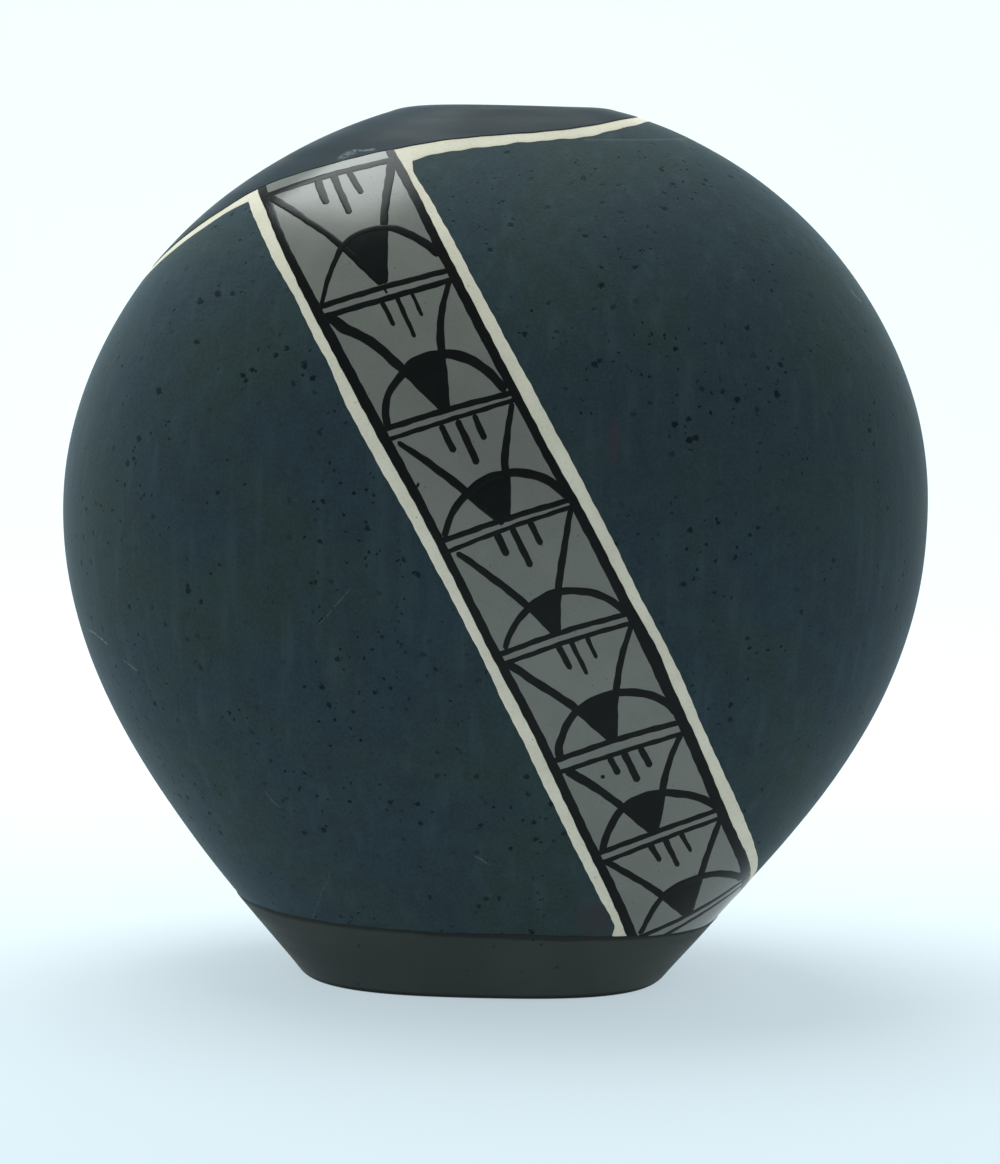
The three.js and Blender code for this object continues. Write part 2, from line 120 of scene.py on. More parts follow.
def moved_in(points, depth):
    """An outline moved inwards along its own normals."""
    run = np.gradient(points, axis=0)
    run /= np.linalg.norm(run, axis=1, keepdims=True)
    return points + depth * np.column_stack([-run[:, 1], run[:, 0]])


front_outline = outline(**FRONT_OUTLINE)
side_outline = outline(**SIDE_OUTLINE)
print("outline points:", len(front_outline) + len(side_outline))

# %% [markdown]
# ## Finding a place on the wall
#
# A painter measures round a pot with a tape. So places on the wall are given as w, the distance round the
# wall from the middle of the front (to the right is more), and z, the height. Angles would be simpler, but
# equal angles aren't equal distances on an oval. To turn w into a point, the length round an oval is summed
# once for ovals from slim to full, and looked up from then on.

# %% Length round an oval
ASPECTS = np.linspace(0.45, 0.95, 11)
TURNS = np.linspace(0, math.pi, 1801)


def oval(turn, half_width, half_depth):
    """Point of an oval at a turn from the middle of the front."""
    c, s = np.cos(turn - math.pi / 2), np.sin(turn - math.pi / 2)
    return (half_width * np.sign(c) * np.abs(c) ** (2 / OVAL_POWER),
            half_depth * np.sign(s) * np.abs(s) ** (2 / OVAL_POWER))


def half_round_table():
    """For each aspect, the length of half an oval of half width 1, and the share of it gone at each turn."""
    lengths, shares = [], []
    for aspect in ASPECTS:
        x, y = oval(TURNS, 1.0, aspect)
        gone = np.concatenate([[0], np.cumsum(np.hypot(np.diff(x), np.diff(y)))])
        lengths.append(gone[-1])
        shares.append(gone / gone[-1])
    return np.array(lengths), np.array(shares)


OVAL_LENGTHS, OVAL_SHARES = half_round_table()
print("half way round ovals of half width 1, slim to full:", OVAL_LENGTHS[[0, -1]].round(2))

# %% The wall as a surface
SLOPE_STEP = 0.5


class Wall:
    """One face of the wall, in mm, from its front and side outlines."""

    def __init__(self, front, side, least=(0, 0)):
        self.front, self.side, self.least = front, side, least

    def halves(self, z):
        """Half width and half depth of the oval at a height."""
        half_width = np.interp(z, self.front[:, 1], self.front[:, 0])
        half_depth = np.interp(z, self.side[:, 1], self.side[:, 0])
        return np.maximum(half_width, self.least[0]), np.maximum(half_depth, self.least[1])

    def half_round(self, z):
        """The distance from the middle of the front to the middle of the back."""
        half_width, half_depth = self.halves(z)
        return half_width * np.interp(half_depth / half_width, ASPECTS, OVAL_LENGTHS)

    def place(self, w, z):
        """Points at distances w round the wall and heights z."""
        w, z = np.broadcast_arrays(np.asarray(w, float), np.asarray(z, float))
        half_width, half_depth = self.halves(z)
        share = np.clip(np.abs(w) / self.half_round(z), 0, 1)
        turns = np.stack([np.interp(share, row, TURNS) for row in OVAL_SHARES])
        step = (half_depth / half_width - ASPECTS[0]) / (ASPECTS[1] - ASPECTS[0])
        low = np.clip(step.astype(int), 0, len(ASPECTS) - 2)
        below = np.take_along_axis(turns, low[None], 0)[0]
        above = np.take_along_axis(turns, low[None] + 1, 0)[0]
        turn = below + (above - below) * (step - low)
        x, y = oval(np.sign(w) * turn, half_width, half_depth)
        return np.stack([x, y, z], -1)

    def normal(self, points):
        x, y, z = np.moveaxis(points, -1, 0)
        half_width, half_depth = self.halves(z)
        wide, deep = self.halves(z + SLOPE_STEP)
        wide_below, deep_below = self.halves(z - SLOPE_STEP)
        wider, deeper = (wide - wide_below) / (2 * SLOPE_STEP), (deep - deep_below) / (2 * SLOPE_STEP)
        across, through = np.abs(x) / half_width, np.abs(y) / half_depth
        slope = across**OVAL_POWER * wider / half_width
        slope = slope + through**OVAL_POWER * deeper / half_depth
        out = np.stack([np.sign(x) * across ** (OVAL_POWER - 1) / half_width,
                        np.sign(y) * through ** (OVAL_POWER - 1) / half_depth, -slope], -1)
        return out / np.linalg.norm(out, axis=-1, keepdims=True)

    def share_across(self, points):
        """0 at the middle of the front or back, 1 at the sides."""
        return (np.abs(points[..., 0]) / self.halves(points[..., 2])[0]) ** OVAL_POWER

    def snap(self, points):
        """Points near the wall moved level onto it."""
        x, y, z = np.moveaxis(np.asarray(points, float), -1, 0)
        half_width, half_depth = self.halves(z)
        size = (np.abs(x) / half_width) ** OVAL_POWER + (np.abs(y) / half_depth) ** OVAL_POWER
        size = size ** (1 / OVAL_POWER)
        return np.stack([x / size, y / size, z], -1)


MOUTH = (14.0, 8.2)
WALL_THICKNESS = 5.0
outside = Wall(front_outline, side_outline)
inside_outlines = [moved_in(points, WALL_THICKNESS) for points in (front_outline, side_outline)]
inside = Wall(*inside_outlines, least=MOUTH)
print("half way round at the belly, mm:", round(float(outside.half_round(BELLY)), 1))

# %% [markdown]
# ## The hand in the wall
#
# A scraped and sanded pot is never quite true. Light slides over it in slow, uneven patches, and one shoulder
# is fuller than the other. A noise texture in the material could fake the patches, but the outline would stay
# perfect. Instead every point of the wall is moved along its normal: a few long waves press it in by a
# fraction of a millimetre, and two drawn lines say how full each side is at each height. The corners of the
# foot are a little squarer than the ovals above. The clay and the coats on it use the same rule, so they stay
# together.

# %% Drawn lines and a wavering hand
# In radians, a little over a whole turn.
LATEST_START = 7


def drawn_line(points, at):
    """A smooth line through drawn points: cubic between each two, with slopes from their neighbours."""
    xs, ys = np.array(points, float).T
    slopes = np.gradient(ys, xs)
    at = np.clip(at, xs[0], xs[-1])
    i = np.clip(np.searchsorted(xs, at) - 1, 0, len(xs) - 2)
    step = xs[i + 1] - xs[i]
    t = (at - xs[i]) / step
    return ((2 * t**3 - 3 * t**2 + 1) * ys[i] + (t**3 - 2 * t**2 + t) * step * slopes[i]
            + (3 * t**2 - 2 * t**3) * ys[i + 1] + (t**3 - t**2) * step * slopes[i + 1])


def unevenness(run, seed, size, lengths):
    """A wavering value along a run, as a brush or a scraper leaves an edge, in mm."""
    own = np.random.default_rng(seed)
    waves = [np.sin(2 * math.pi * run / length + own.uniform(0, LATEST_START)) for length in lengths]
    return size * sum(waves) / len(waves)


sample_line = unevenness(np.linspace(0, 100, 500), seed=1, size=1.0, lengths=(31, 13, 7))
print("a wavering line of size 1 reaches", round(float(np.abs(sample_line).max()), 2))

# %% Hand-worked surface
HAND_SEED = 29
rng = np.random.default_rng(HAND_SEED)
WAVE_COUNT = 18
WAVE_LENGTHS = np.geomspace(16, 90, WAVE_COUNT)
wave_ways = rng.normal(size=(WAVE_COUNT, 3))
wave_ways *= (2 * math.pi / WAVE_LENGTHS / np.linalg.norm(wave_ways, axis=1))[:, None]
wave_starts = rng.uniform(0, 2 * math.pi, WAVE_COUNT)
wave_heights = WAVE_LENGTHS / WAVE_LENGTHS.sum()
WAVE_DEPTH = 0.3
LEAST_DEPTH = 0.14
FULL_RIGHT = [(0, -1.4), (8, -0.7), (16, -0.6), (37, -0.1), (60, 0.15), (85, 0.15), (100, 0.2),
              (112, 0.6), (123, 1.0), (144, 1.4), (165, 1.6), (175, 1.5), (182, 1.1), (185, 0.45)]
FULL_LEFT = [(0, 0.0), (9, 0.5), (20, 0.65), (37, 0.25), (50, 0.05), (98, 0.1), (112, 0.0), (130, -0.2),
             (150, -0.3), (163, -0.5), (174, -0.7), (182, -0.4), (185, -0.2)]
SIDE_SHARPNESS = 1.5
FOOT_CORNERS, FOOT_CORNER_HEIGHT = 1.1, 12.0


def hand_depth(points):
    """How far each point of the wall lies inside the even surface, in mm."""
    waves = np.sin(points @ wave_ways.T + wave_starts) @ wave_heights
    x, z = points[..., 0], points[..., 2]
    across = outside.share_across(points)
    full = np.where(x > 0, drawn_line(FULL_RIGHT, z), drawn_line(FULL_LEFT, z)) * across**SIDE_SHARPNESS
    corners = FOOT_CORNERS * 4 * across * np.clip(1 - across, 0, 1) * np.exp(-z / FOOT_CORNER_HEIGHT)
    return LEAST_DEPTH + WAVE_DEPTH * (0.5 + 0.5 * waves) - corners - full


def on_wall(points, lift=0.0):
    """Points of the even outside, moved to the hand-worked surface and raised by a lift."""
    return points + outside.normal(points) * (np.asarray(lift) - hand_depth(points))[..., None]


belly_depths = hand_depth(outside.place(np.linspace(-100, 100, 50), BELLY))
shallowest, deepest = (round(float(depth), 2) for depth in (belly_depths.min(), belly_depths.max()))
print("hand depth at the belly, mm:", shallowest, "to", deepest)

# %% [markdown]
# ## Turning nets of points into pieces
#
# Two kinds of net make every piece. A stack of rings makes clay: a closed loop of rings is a hoop, and an
# open one closes over a middle point at each end. A sheet makes a coat: a net of points on top, the same net
# pushed into the clay below, and a rim between them, so that even a brush line is a closed body.

# %% Mesh helpers
SHARP_ANGLE = math.radians(40)


def net_faces(rows, columns, around):
    """Four-sided faces of a net of points, numbered row by row. A net may close on itself around."""
    i, j = np.meshgrid(np.arange(rows - 1), np.arange(columns if around else columns - 1), indexing="ij")
    k = (j + 1) % columns
    corners = [i * columns + j, i * columns + k, (i + 1) * columns + k, (i + 1) * columns + j]
    return np.stack(corners, -1).reshape(-1, 4)


def sheet(top, bottom, around=False):
    """Points and faces of a thin closed body between two nets of the same size."""
    rows, columns = top.shape[:2]
    size = rows * columns
    grid = np.arange(size).reshape(rows, columns)
    if around:
        loops = [np.append(grid[0], grid[0, 0]), np.append(grid[-1], grid[-1, 0])[::-1]]
    else:
        loops = [np.concatenate([grid[0], grid[1:, -1], grid[-1, -2::-1], grid[-2::-1, 0]])]
    faces = net_faces(rows, columns, around)
    rims = [np.stack([loop[:-1] + size, loop[1:] + size, loop[1:], loop[:-1]], -1) for loop in loops]
    points = np.concatenate([top.reshape(-1, 3), bottom.reshape(-1, 3)])
    return points, np.concatenate([faces, faces[:, ::-1] + size, *rims])


def joined(bodies):
    """Points and faces of several bodies as one."""
    points, faces, start = [], [], 0
    for body_points, body_faces in bodies:
        points.append(body_points)
        faces.append(body_faces + start)
        start += len(body_points)
    return np.concatenate(points), np.concatenate(faces)


def piece(name, points, faces, extra_faces=()):
    """A mesh object from points in mm. Its faces are smooth except over sharp edges, and face outwards."""
    mesh = bpy.data.meshes.new(name)
    mesh.from_pydata((points * MM).tolist(), [], faces.tolist() + list(extra_faces))
    mesh.validate()
    volume = sum(face.center.dot(face.normal) * face.area for face in mesh.polygons)
    if volume < 0:
        mesh.flip_normals()
    mesh.set_sharp_from_angle(angle=SHARP_ANGLE)
    made = bpy.data.objects.new(name, mesh)
    bpy.context.collection.objects.link(made)
    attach(made, "root")
    print(name, len(mesh.vertices), "points")
    return made


def ring_stack(name, rings, hoop):
    """A closed piece from rings of points, as a hoop or with a middle point at each end."""
    rings = np.array(rings)
    count, columns = rings.shape[:2]
    points = rings.reshape(-1, 3)
    if hoop:
        rings_again = np.concatenate([np.arange(count * columns), np.arange(columns)])
        faces = rings_again[net_faces(count + 1, columns, True)]
        return piece(name, points, faces)
    middles = np.stack([rings[0].mean(0), rings[-1].mean(0)])
    first, last = len(points), (count - 1) * columns
    ends = [(first, (j + 1) % columns, j) for j in range(columns)]
    ends += [(first + 1, last + j, last + (j + 1) % columns) for j in range(columns)]
    return piece(name, np.concatenate([points, middles]), net_faces(count, columns, True), ends)


# %% [markdown]
# ## The clay: base slab, coils and lip coil
#
# The maker pressed a slab for the base, set seven coils on it one by one, and closed the neck with a lip
# coil. On the finished pot the seams are scraped away, outside at least. One lathe-like mesh would show the
# same outside, but the pot is an assembly, so each coil is its own hoop. Neighbours share one ring of points
# at the seam, which keeps the outside without a step. Inside, where only fingers reach, each coil stays a
# little full between its seams.

# %% Wall coils
COLUMNS = 320
ROW_STEP, INSIDE_STEP = 1.3, 2.5
FINGER_SWELL = 0.5
COILS = [f"wall_coil_{number}" for number in range(1, 8)]
seams = [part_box("base_slab")[1].z / MM] + [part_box(name)[1].z / MM for name in COILS]


def ring_on(wall, heights):
    """Points of a ring, column by column from the middle of the front. Heights are one number or one each."""
    turn = 2 * np.arange(COLUMNS) / COLUMNS
    return wall.place(np.where(turn > 1, turn - 2, turn) * wall.half_round(heights), heights)


def outer_ring(z):
    return on_wall(ring_on(outside, z))


def inner_ring(z, swell=0.0):
    points = ring_on(inside, z)
    return points - inside.normal(points) * swell


def clay_rows(low, high, step=ROW_STEP):
    """Heights between two seams, spaced evenly along the outline."""
    run = np.concatenate([[0], np.cumsum(np.linalg.norm(np.diff(front_outline, axis=0), axis=1))])
    start, stop = np.interp([low, high], front_outline[:, 1], run)
    count = max(2, round((stop - start) / step))
    heights = np.interp(np.linspace(start, stop, count + 1), run, front_outline[:, 1])
    return np.concatenate([[low], heights[1:-1], [high]])


def scaled_ring(ring, share, z):
    """A ring drawn in towards its middle, at a new height."""
    middle = ring.mean(0)
    out = middle + (ring - middle) * share
    out[:, 2] = z
    return out


def wall_coil(number, low, high):
    outer = [outer_ring(z) for z in clay_rows(low, high)]
    heights = clay_rows(low, high, INSIDE_STEP)
    swells = FINGER_SWELL * np.sin(np.linspace(0, math.pi, len(heights)))
    inner = [inner_ring(z, -swell) for z, swell in zip(heights, swells)][::-1]
    return ring_stack(f"clay_wall_coil_{number}", outer + inner, hoop=True)


clay_coils = []
for number, (low, high) in enumerate(zip(seams, seams[1:]), start=1):
    clay_coils.append(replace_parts(wall_coil(number, low, high), f"wall_coil_{number}"))

# %% [markdown]
# The base slab carries the floor inside, with a fillet where fingers smoothed it to the wall. Its lower edge
# is rounded, and the underside is a little hollow, so that the pot stands on a rim and doesn't rock. A bevel
# modifier could round the edge. Here the rings go on from the wall's own slope until they lie level, so that
# the foot coat can follow them by the same rule.

# %% Base slab
FLOOR_TOP, FLOOR_FILLET = 7.0, 6.0
FOOT_ROUND = 1.0
FOOT_HOLLOW = 0.4
EDGE_SHARES = (0.2, 0.4, 0.6, 0.8, 1.0)
UNDER_SHARES = (0.05, 0.3, 0.6, 0.8, 0.92)
FLOOR_SHARES = (0.8, 0.5, 0.2, 0.03)
QUARTER_TURN = np.linspace(0, math.pi / 2, 6)


def rounded_under(ring):
    """Rings that carry on from the wall's own slope, round its lower edge, to the level it stands on."""
    normal = outside.normal(ring)
    start = np.arcsin(-normal[:, 2])
    level = normal[:, :2] / np.cos(start)[:, None]
    radius = ring[:, 2] / (1 - np.sin(start))
    rings = []
    for share in EDGE_SHARES:
        turn = start + (math.pi / 2 - start) * share
        aside = radius * (np.cos(start) - np.cos(turn))
        down = radius * (np.sin(turn) - np.sin(start))
        rings.append(np.column_stack([ring[:, :2] - level * aside[:, None], ring[:, 2] - down]))
    return rings


def base_slab():
    edge = rounded_under(outer_ring(FOOT_ROUND))[::-1]
    under = [scaled_ring(edge[0], share, FOOT_HOLLOW * (1 - share**4)) for share in UNDER_SHARES]
    outer = [outer_ring(z) for z in clay_rows(FOOT_ROUND, seams[0])]
    fillet_top = FLOOR_TOP + FLOOR_FILLET
    inner = [inner_ring(z) for z in clay_rows(fillet_top, seams[0], INSIDE_STEP)][::-1]
    half_width = inside.halves(fillet_top)[0]
    fillet = [scaled_ring(inner[-1], 1 - FLOOR_FILLET * (1 - math.cos(t)) / half_width,
                          fillet_top - FLOOR_FILLET * math.sin(t)) for t in QUARTER_TURN[1:]]
    floor = [scaled_ring(fillet[-1], share, FLOOR_TOP) for share in FLOOR_SHARES]
    return ring_stack("clay_base_slab", under + edge + outer + inner + fillet + floor, hoop=False)


clay_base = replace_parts(base_slab(), "base_slab")

# %% [markdown]
# The lip coil ends in a rim that was smoothed over with wet leather. It starts in line with the shoulder,
# levels out, and turns down into the oval mouth, so there is no ledge round it. A quarter circle would turn
# too sharply. A drawn arch says how far the rim has risen at each share of the way to the mouth.

# %% Lip coil
LIP_ROUND, LIP_ROOM = 1.2, 0.08
LIP_EDGE = HEIGHT - LIP_ROUND - LIP_ROOM
LIP_ARCH = [(0.0, 0.0), (0.08, 0.26), (0.18, 0.5), (0.3, 0.7), (0.45, 0.86), (0.6, 0.95), (0.75, 0.99),
            (0.87, 1.0), (0.94, 0.9), (0.98, 0.65)]
LIP_STEP = 1.0
NECK_TURN, NECK_ROWS = 181.0, 4
NECK_SHARES = (0.3, 0.65)


def lip_rings(outer, mouth, rise):
    """Rings over the lip, from the outer edge to the mouth."""
    rings = []
    for share, height in LIP_ARCH:
        ring = outer + (mouth - outer) * share
        ring[:, 2] += rise * height
        rings.append(ring)
    return rings


def mouth_ring(z, room=0.0):
    """The oval of the mouth at a height, with room added all round."""
    half_width, half_depth = MOUTH
    points = oval(2 * math.pi * np.arange(COLUMNS) / COLUMNS, half_width + room, half_depth + room)
    return np.column_stack([*points, np.full(COLUMNS, z)])


def lip_coil():
    outer = [outer_ring(z) for z in clay_rows(seams[-1], LIP_EDGE, LIP_STEP)]
    over = lip_rings(outer[-1], mouth_ring(LIP_EDGE), LIP_ROUND - 2 * LEAST_DEPTH)[1:]
    into = [mouth_ring(z) for z in np.linspace(LIP_EDGE, NECK_TURN, NECK_ROWS)]
    neck_turn, seam = into[-1], inner_ring(seams[-1])
    under = [neck_turn + (seam - neck_turn) * [share, share, share**0.5] for share in NECK_SHARES]
    return ring_stack("clay_lip_coil", outer + over + into + under + [seam], hoop=True)


clay_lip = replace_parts(lip_coil(), "lip_coil")

# %% [markdown]
# ## Edge lines of the collar and the foot
#
# The burnished collar is an oval that hangs over the neck and drops far down the left side. Its lower edge is
# easiest to draw as it is seen from the front: a height for each distance to the side, through a few points.
# The foot's edge is nearly level. Both pass right round the pot. To find where a line crosses each column of
# the wall, the height is halved in on, which never fails however steep the wall is.

# %% Edge lines
COLLAR_EDGE = [(-80, 142.5), (-73.8, 149.7), (-71.2, 152.3), (-64.6, 157.6), (-58.2, 162.0),
               (-50.5, 166.6), (-37.0, 171.2), (-23.4, 174.6), (-9.3, 177.3), (2.5, 178.5), (14.2, 179.9),
               (22.1, 181.4), (28.5, 182.4), (40, 182.9)]
FOOT_EDGE = [(-60, 17.4), (-42, 16.7), (-29, 16.0), (-13, 15.5), (9, 15.3), (26, 14.7), (40, 13.9),
             (60, 13.4)]
TIP_REACH, TIP_HALF_WIDTH = 9, 11.0
HALVINGS = 40


def crossing_heights(edge, low, high):
    """For each column round the wall, the height at which it crosses an edge line."""
    low, high = np.full(COLUMNS, float(low)), np.full(COLUMNS, float(high))
    for _ in range(HALVINGS):
        middle = (low + high) / 2
        above = middle > edge(ring_on(outside, middle))
        low, high = np.where(above, low, middle), np.where(above, middle, high)
    return (low + high) / 2


def rounded_tip(heights):
    """The low tip at the left side, where front and back meet, turned as softly as a brush turns."""
    around = np.concatenate([heights[-TIP_REACH:], heights, heights[:TIP_REACH]])
    brush = np.hanning(2 * TIP_REACH + 3)[1:-1]
    soft = np.convolve(around, brush / brush.sum(), "valid")
    x, y, _ = ring_on(outside, heights).T
    return heights + (soft - heights) * np.where(x < 0, np.exp(-(y / TIP_HALF_WIDTH) ** 2), 0)


def collar_edge(points):
    x = points[..., 0]
    return drawn_line(COLLAR_EDGE, x) + unevenness(x, seed=3, size=0.1, lengths=(31, 13, 7))


def foot_edge(points):
    x = points[..., 0]
    return drawn_line(FOOT_EDGE, x) + unevenness(x, seed=4, size=0.15, lengths=(29, 11, 6))


collar_heights = rounded_tip(crossing_heights(collar_edge, low=120, high=LIP_EDGE))
foot_heights = crossing_heights(foot_edge, low=5, high=40)
print("collar's edge, mm:", round(collar_heights.min(), 1), "to", round(collar_heights.max(), 1))

# %% [markdown]
# ## Collar coat and foot coat
#
# A slip coat is a skin of fine clay, a tenth of a millimetre thick, polished with a stone. It could be a
# painted mask in one big material. A thin real layer is better here: its edge catches the light as the real
# one does, and it can be taken off or recoloured by itself. The last row of points dips to the clay, so the
# edge is soft. The coats are laid over each other in the order a painter works, each a little higher.

# %% Coats round the neck and the foot
LIFTS = dict(cream=0.05, band=0.09, wedge=0.12, frame=0.13, cross=0.136, diagonal=0.142, arc=0.148,
             burnished=0.2)
BED = 0.3
EDGE_STEP = 0.25
UNDER_INSET = 0.99
COLLAR_ROWS, FOOT_ROWS, RING_ROWS = 44, 12, 4


def rows_between(low, high, steps):
    """Heights from a low to a high line for each column, with a narrow first row for the soft edge."""
    run = np.concatenate([[0], np.cumsum(np.linalg.norm(np.diff(side_outline, axis=0), axis=1))])
    first, last = (np.interp(z, side_outline[:, 1], run) for z in (low, high))
    lengths = first + (last - first) * np.linspace(0, 1, steps + 1)[:, None]
    lengths = np.concatenate([lengths[:1], (first + EDGE_STEP)[None], lengths[1:]])
    return np.interp(lengths, run, side_outline[:, 1])


def coat_rows(heights, lift):
    """Upper and lower net of a coat round the wall. The first row dips to the clay."""
    points = np.stack([ring_on(outside, row) for row in heights])
    lifts = np.full(heights.shape, lift)
    lifts[0] = 0
    return on_wall(points, lifts), on_wall(points, -BED)


def collar_coat():
    lift = LIFTS["burnished"]
    heights = rows_between(collar_heights, np.full(COLUMNS, LIP_EDGE), COLLAR_ROWS)
    top, bottom = coat_rows(heights, lift)
    over_top = lip_rings(top[-1], mouth_ring(LIP_EDGE, -lift), LIP_ROUND - LEAST_DEPTH)[1:]
    over_bottom = lip_rings(bottom[-1], mouth_ring(LIP_EDGE, BED), LIP_ROUND - 2 * BED)[1:]
    into = np.linspace(LIP_EDGE, NECK_TURN, NECK_ROWS)
    top = np.concatenate([top, over_top, [mouth_ring(z, -lift) for z in into]])
    bottom = np.concatenate([bottom, over_bottom, [mouth_ring(z, BED) for z in into]])
    return piece("collar_coat", *sheet(top, bottom, around=True))


def foot_coat():
    rows = rows_between(np.full(COLUMNS, FOOT_ROUND), foot_heights, FOOT_ROWS)
    heights = np.concatenate([rows[:1], rows[2:-1], [rows[-1] - EDGE_STEP], rows[-1:]])[::-1]
    top, bottom = coat_rows(heights, LIFTS["burnished"])
    under_top = rounded_under(top[-1])
    under_bottom = [scaled_ring(ring, UNDER_INSET, ring[:, 2] + BED) for ring in under_top]
    return piece("foot_coat", *sheet(np.concatenate([top, under_top]),
                                     np.concatenate([bottom, under_bottom]), around=True))


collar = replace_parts(collar_coat(), "collar_slip")
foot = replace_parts(foot_coat(), "foot_slip")

# %% [markdown]
# ## The band's own measure
#
# The painted band slants down the front like a sash. Its painter worked along it, so its places are given as
# a, the distance across it from its middle line, and d, the distance down it, both in mm. A flat drawing
# projected from the front would be simpler, but it would stretch where the wall turns away. The middle line
# is a gentle curve over the wall, and d is its true length there.

# %% Places on the band
BAND_TOP, BAND_BOTTOM = np.array([-36.4, HEIGHT - 16.3]), np.array([45.8, 20.0])
BAND_BULGE = 2.3
BAND_TILT = math.radians(17.5)
BAND_PULL = (BAND_TOP + BAND_BOTTOM) / 2 + [2 * BAND_BULGE, 0]
BAND_START, BAND_END = -9.0, 197.0
PAST_TOP, PAST_BOTTOM, LINE_POINTS = -0.1, 1.12, 1001


def middle_line(t):
    """The band's middle line, which runs on straight past both ends."""
    t = np.asarray(t, float)[..., None]
    on = np.clip(t, 0, 1)
    slope = np.where(t < 0, 2 * (BAND_PULL - BAND_TOP), 2 * (BAND_BOTTOM - BAND_PULL))
    return (1 - on) ** 2 * BAND_TOP + 2 * (1 - on) * on * BAND_PULL + on**2 * BAND_BOTTOM + (t - on) * slope


band_steps = np.linspace(PAST_TOP, PAST_BOTTOM, LINE_POINTS)
band_line = outside.place(*middle_line(band_steps).T)
band_run = np.concatenate([[0], np.cumsum(np.linalg.norm(np.diff(band_line, axis=0), axis=1))])
band_run -= np.interp(0, band_steps, band_run)


def band_place(a, d):
    """Points of the even wall at distances a across the band and d down it."""
    a, d = np.broadcast_arrays(np.asarray(a, float), np.asarray(d, float))
    middle = middle_line(np.interp(d, band_run, band_steps))
    w, z = np.moveaxis(middle, -1, 0)
    return outside.place(w + a * math.cos(BAND_TILT), z + a * math.sin(BAND_TILT))


print("band's length, mm:", round(float(np.interp(1, band_steps, band_run)), 1))

# %% [markdown]
# ## Grey coat of the band
#
# Under the brush lines lies a coat of fine grey slip, rubbed to a satin gloss. It is one long net between the
# middles of the two frame lines, which cover its sides. Its ends run under the collar and the foot coat,
# which are laid over them. A frame line is a few places down the band, each with how far out it lies and how
# wide it is there, because the hand that drew it wandered and pressed harder in places.

# %% Band coat
LEFT_FRAME = [(-9, -15.6, 1.8), (-5, -15.1, 1.9), (0, -14.4, 1.8), (15, -14.15, 1.6), (31, -13.95, 1.95),
              (45, -13.9, 2.0), (65, -13.9, 2.0), (75, -13.8, 1.8), (90, -14.1, 1.65), (110, -14.6, 1.75),
              (130, -14.65, 1.75), (140, -15.0, 1.85), (155, -15.5, 1.8), (170, -15.65, 1.9),
              (180, -15.9, 2.0), (197, -16.5, 2.0)]
RIGHT_FRAME = [(-9, 14.5, 1.4), (-5, 14.7, 1.4), (0, 14.85, 1.7), (15, 14.75, 1.7), (25, 14.3, 1.8),
               (35, 13.95, 1.9), (45, 13.65, 1.9), (65, 13.3, 1.65), (75, 13.2, 1.6), (85, 13.4, 1.8),
               (110, 13.3, 2.05), (120, 13.4, 2.6), (126, 13.1, 2.3), (140, 12.8, 2.2), (160, 12.55, 2.1),
               (165, 12.75, 2.1), (170, 13.3, 2.15), (175, 14.1, 2.3), (180, 14.95, 2.4),
               (185, 16.0, 2.3), (197, 19.0, 2.3)]
BAND_STEP, BAND_COLUMNS = 1.0, 29


def frame_middle(line, d):
    return drawn_line([(d, a) for d, a, _ in line], d)


def frame_width(line, d):
    return drawn_line([(d, width) for d, _, width in line], d)


def laid_sheet(points, lifts):
    """A closed sheet over points of the wall, pressed into the clay below."""
    return sheet(on_wall(points, lifts), on_wall(points, -BED))


def band_coat():
    d = np.arange(BAND_START, BAND_END, BAND_STEP)[:, None]
    left, right = frame_middle(LEFT_FRAME, d), frame_middle(RIGHT_FRAME, d)
    points = band_place(left + (right - left) * np.linspace(0, 1, BAND_COLUMNS), d)
    return piece("band_coat", *laid_sheet(points, LIFTS["band"]))


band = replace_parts(band_coat(), "band_slip")

# %% [markdown]
# ## Cream line
#
# A cream slip line frames the matt field. It follows the collar's edge right round the pot, and runs down on
# both sides of the band. A bevelled curve would give an even tube, and the real line is flat, about 2 to 3 mm
# wide, with a crisp edge at the band and a wandering one where the field's colour was brushed up to it. So
# each line is a flat net between two drawn edges.

# %% Cream line
CREAM_DROP = [(-80, 2.6), (-60, 2.1), (-50, 2.4), (-21, 3.4), (-14, 2.6), (-4, 2.1), (5, 1.8), (18, 1.9),
              (26, 1.5), (40, 1.1)]
CREAM_LEFT = [(-8, -20.6), (-3, -19.2), (0, -18.7), (5, -18.2), (10, -17.9), (20, -17.45), (25, -17.05),
              (40, -17.0), (45, -16.95), (50, -17.4), (65, -17.6), (75, -17.3), (100, -17.3),
              (110, -17.45), (120, -17.9), (130, -18.05), (140, -18.4), (150, -18.6), (172, -18.7),
              (177, -18.5), (180, -18.8), (182, -20.0), (186, -21.5), (197, -22)]
CREAM_RIGHT = [(-8, 20.5), (1.0, 19.2), (2.4, 18.2), (4, 17.6), (15, 17.45), (30, 17.3), (40, 17.1),
               (60, 16.95), (90, 16.85), (100, 16.7), (110, 16.5), (117, 16.7), (128, 16.6), (135, 16.3),
               (145, 16.1), (157, 16.55), (165, 16.95), (170, 17.55), (175, 18.2), (180, 19.1),
               (185, 20.1), (197, 22.4)]
CREAM_WIDEST, CREAM_UNDER = 3.6, 0.8
CREAM_STEP = 0.6
CREAM_SHARES = np.array([0, 0.2, 0.5, 0.8, 0.93, 1.0])


def cream_edge(points):
    x = points[..., 0]
    waver = unevenness(x, seed=5, size=0.22, lengths=(23, 9, 4.5))
    return collar_edge(points) - drawn_line(CREAM_DROP, x) + waver


